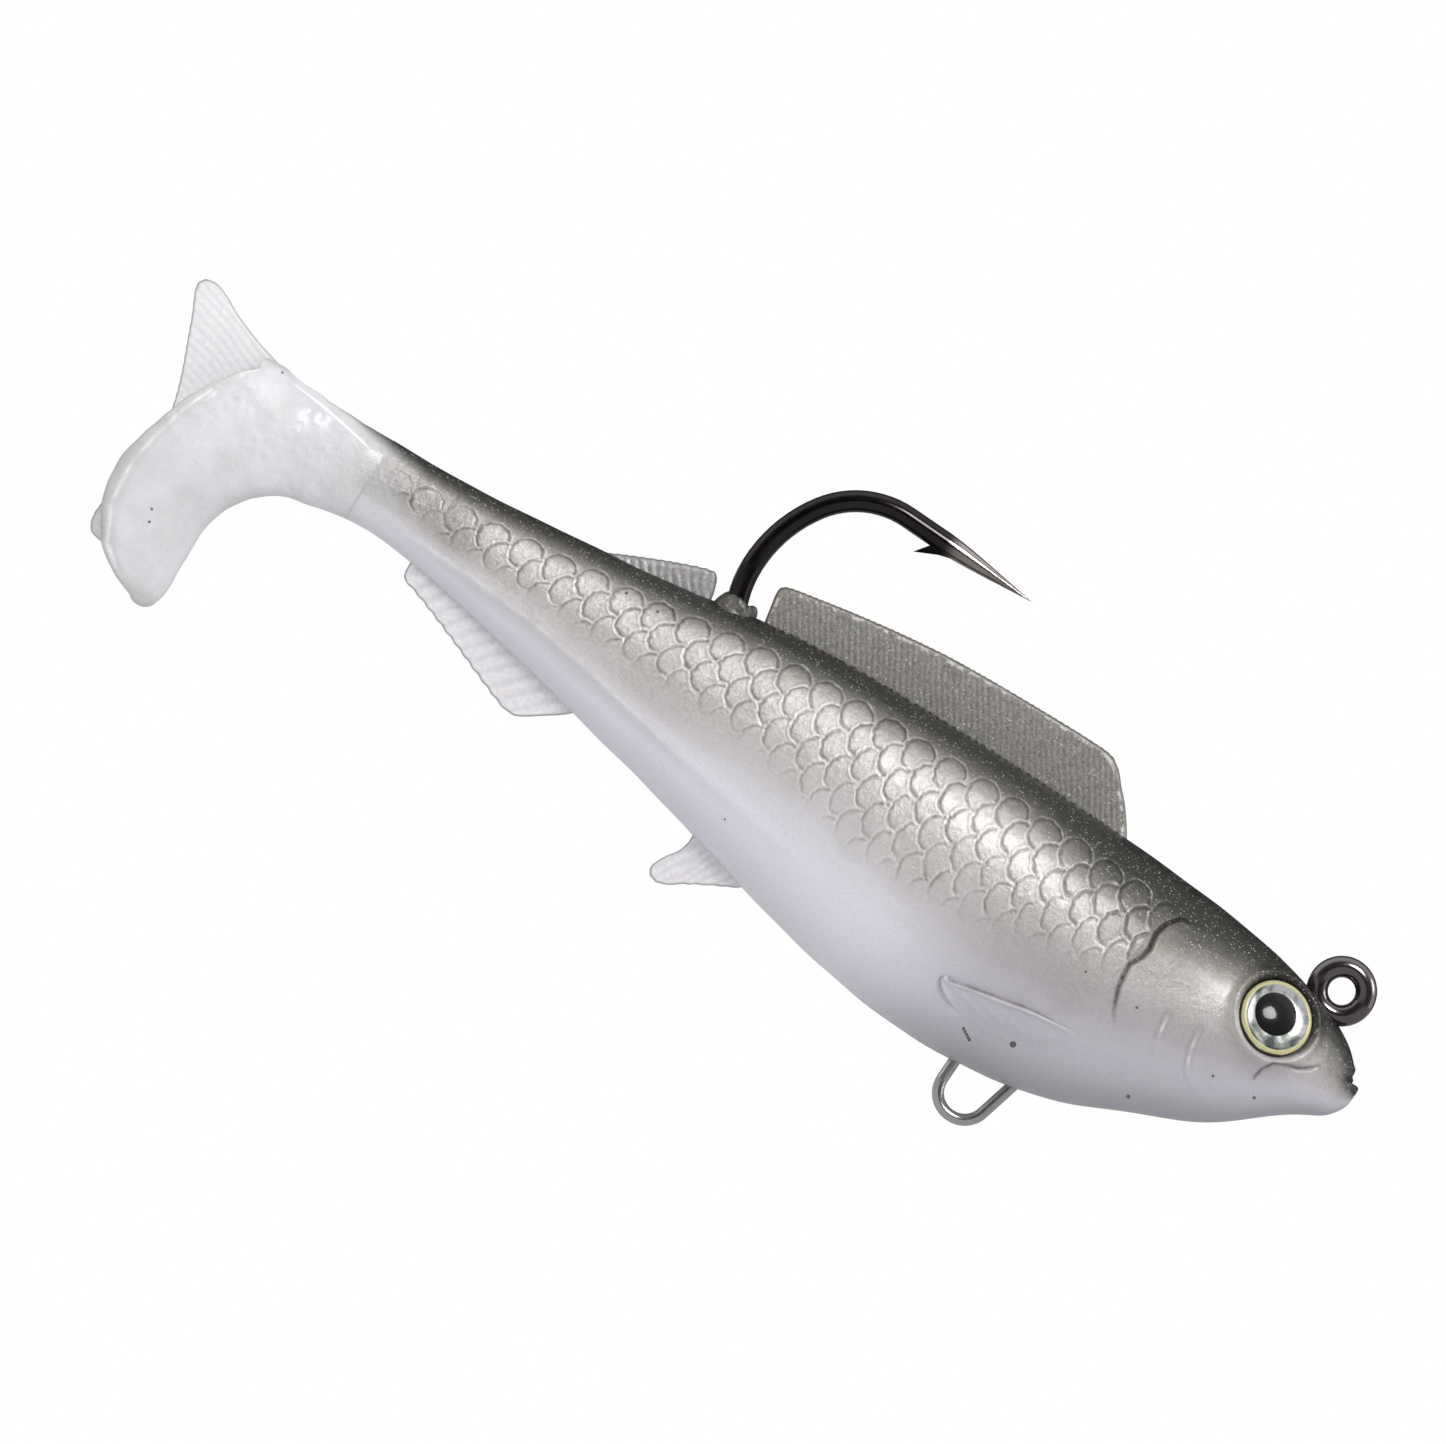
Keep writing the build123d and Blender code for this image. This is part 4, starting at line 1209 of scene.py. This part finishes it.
# white to the camera, soft light to dull surfaces; shiny ones mirror a dark studio with lit edges
# above, below and at the ends
sky = Nodes("studio", "World")
path = sky.node("LightPath").outputs
facing = sky.math("ABSOLUTE", sky.part(sky.node("TexCoord").outputs["Generated"], "Y"))
BANDS = ((0, 1), (0.30, 1), (0.45, 0.40), (0.70, 0.10), (1, 0.05))
bands = sky.ramp(facing, [(place, (value, value, value)) for place, value in BANDS])
seen, glow, mirror = (
    sky.node("Background", {"Color": colour, "Strength": strength}).outputs[0]
    for colour, strength in (((1, 1, 1), 1.0), ((1.0, 0.995, 1.0), 0.72), (bands, 1.0))
)
lit = sky.blend(path["Is Glossy Ray"], glow, mirror)
bpy.context.scene.world = sky.finish(sky.blend(path["Is Camera Ray"], lit, seen))

FLOOR_REACH, FLOOR_Z = 30.0, -0.5
paint = Nodes("floor_paint")
path = paint.node("LightPath").outputs
seen = paint.node("Emission", {"Color": (1, 1, 1), "Strength": 1.0}).outputs[0]
strength = paint.range(path["Is Glossy Ray"], 0.0, 1.0, 0.88, 0.42)
lit = paint.node("Emission", {"Color": (1, 1, 1), "Strength": strength}).outputs[0]
floor_mesh = bpy.data.meshes.new("floor")
corners = [(x * FLOOR_REACH, y * FLOOR_REACH, 0) for x, y in ((-1, -1), (1, -1), (1, 1), (-1, 1))]
floor_mesh.from_pydata(corners, [], [(0, 1, 2, 3)])
floor_mesh.materials.append(paint.finish(paint.blend(path["Is Camera Ray"], lit, seen)))
floor = link("floor", floor_mesh)
floor.location = (0, 0, FLOOR_Z)

# ---------------------------------------------------------------- pieces put on the front body or baked in place, and the CAD nodes each one stands for
BODY_BEND = ((-0.064, 0, 0), (-0.075, 0, 0))
STALK_BEND = ((-0.089, 0, 0), (-0.097, 0, 0))
TAIL_BEND = ((-0.0995, 0, 0), (-0.108, 0, 0))
DORSAL_FOLD = ((-0.043, 0, 0.0014), (-0.043, 0, 0.0036))
ANAL_FOLD = ((-0.0819, 0, -0.0137), (-0.0822, 0, -0.0155))
PELVIC_FOLD = ((-0.0539, 0, -0.0200), (-0.0543, 0, -0.0217))
RIDING = [("skin_head", "soft_body", ["fore_body"]), ("skin_front", "soft_body", ["fore_body"])]
for label in ("left", "right"):
    RIDING += [
        (f"fin_pectoral_{label}", "soft_fin", [f"{label}_pectoral_fin"]),
        (f"eye_iris_{label}", "eye_foil", [f"{label}_eye_foil"]),
        (f"eye_pupil_{label}", "eye_print", [f"{label}_eye_pupil"]),
        (f"eye_lens_{label}", "eye_dome", [f"{label}_eye_lens"]),
    ]
RIDING += [("collar_lump", "soft_body", ["hook_collar"])]
BENDING = [
    ("skin_middle", "soft_body", ["fore_body", "rear_body"], ("front", "rear", *BODY_BEND)),
    ("skin_rear", "soft_body", ["rear_body", "tail_stalk"], ("rear", "stalk", *STALK_BEND)),
    ("skin_tail", "soft_tail", ["tail_paddle", "tail_stalk"], ("stalk", "tail", *TAIL_BEND)),
    ("fin_caudal", "soft_fin", ["caudal_fin"], ("stalk", "tail", *TAIL_BEND)),
    ("fin_rear_dorsal", "soft_fin", ["rear_dorsal_fin"], ("front", "rear", *BODY_BEND)),
    ("fin_dorsal", "soft_fin", ["dorsal_fin"], ("front", "dorsal", *DORSAL_FOLD)),
    ("fin_anal", "soft_fin", ["anal_fin"], ("rear", "anal", *ANAL_FOLD)),
    ("fin_pelvic", "soft_fin", ["pelvic_fin"], ("front", "pelvic", *PELVIC_FOLD)),
]
for name, slot, nodes in RIDING:
    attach(pieces[name], "front")
    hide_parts(*nodes)
for name, slot, nodes, bend in BENDING:
    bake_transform(pieces[name])
    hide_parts(*nodes)
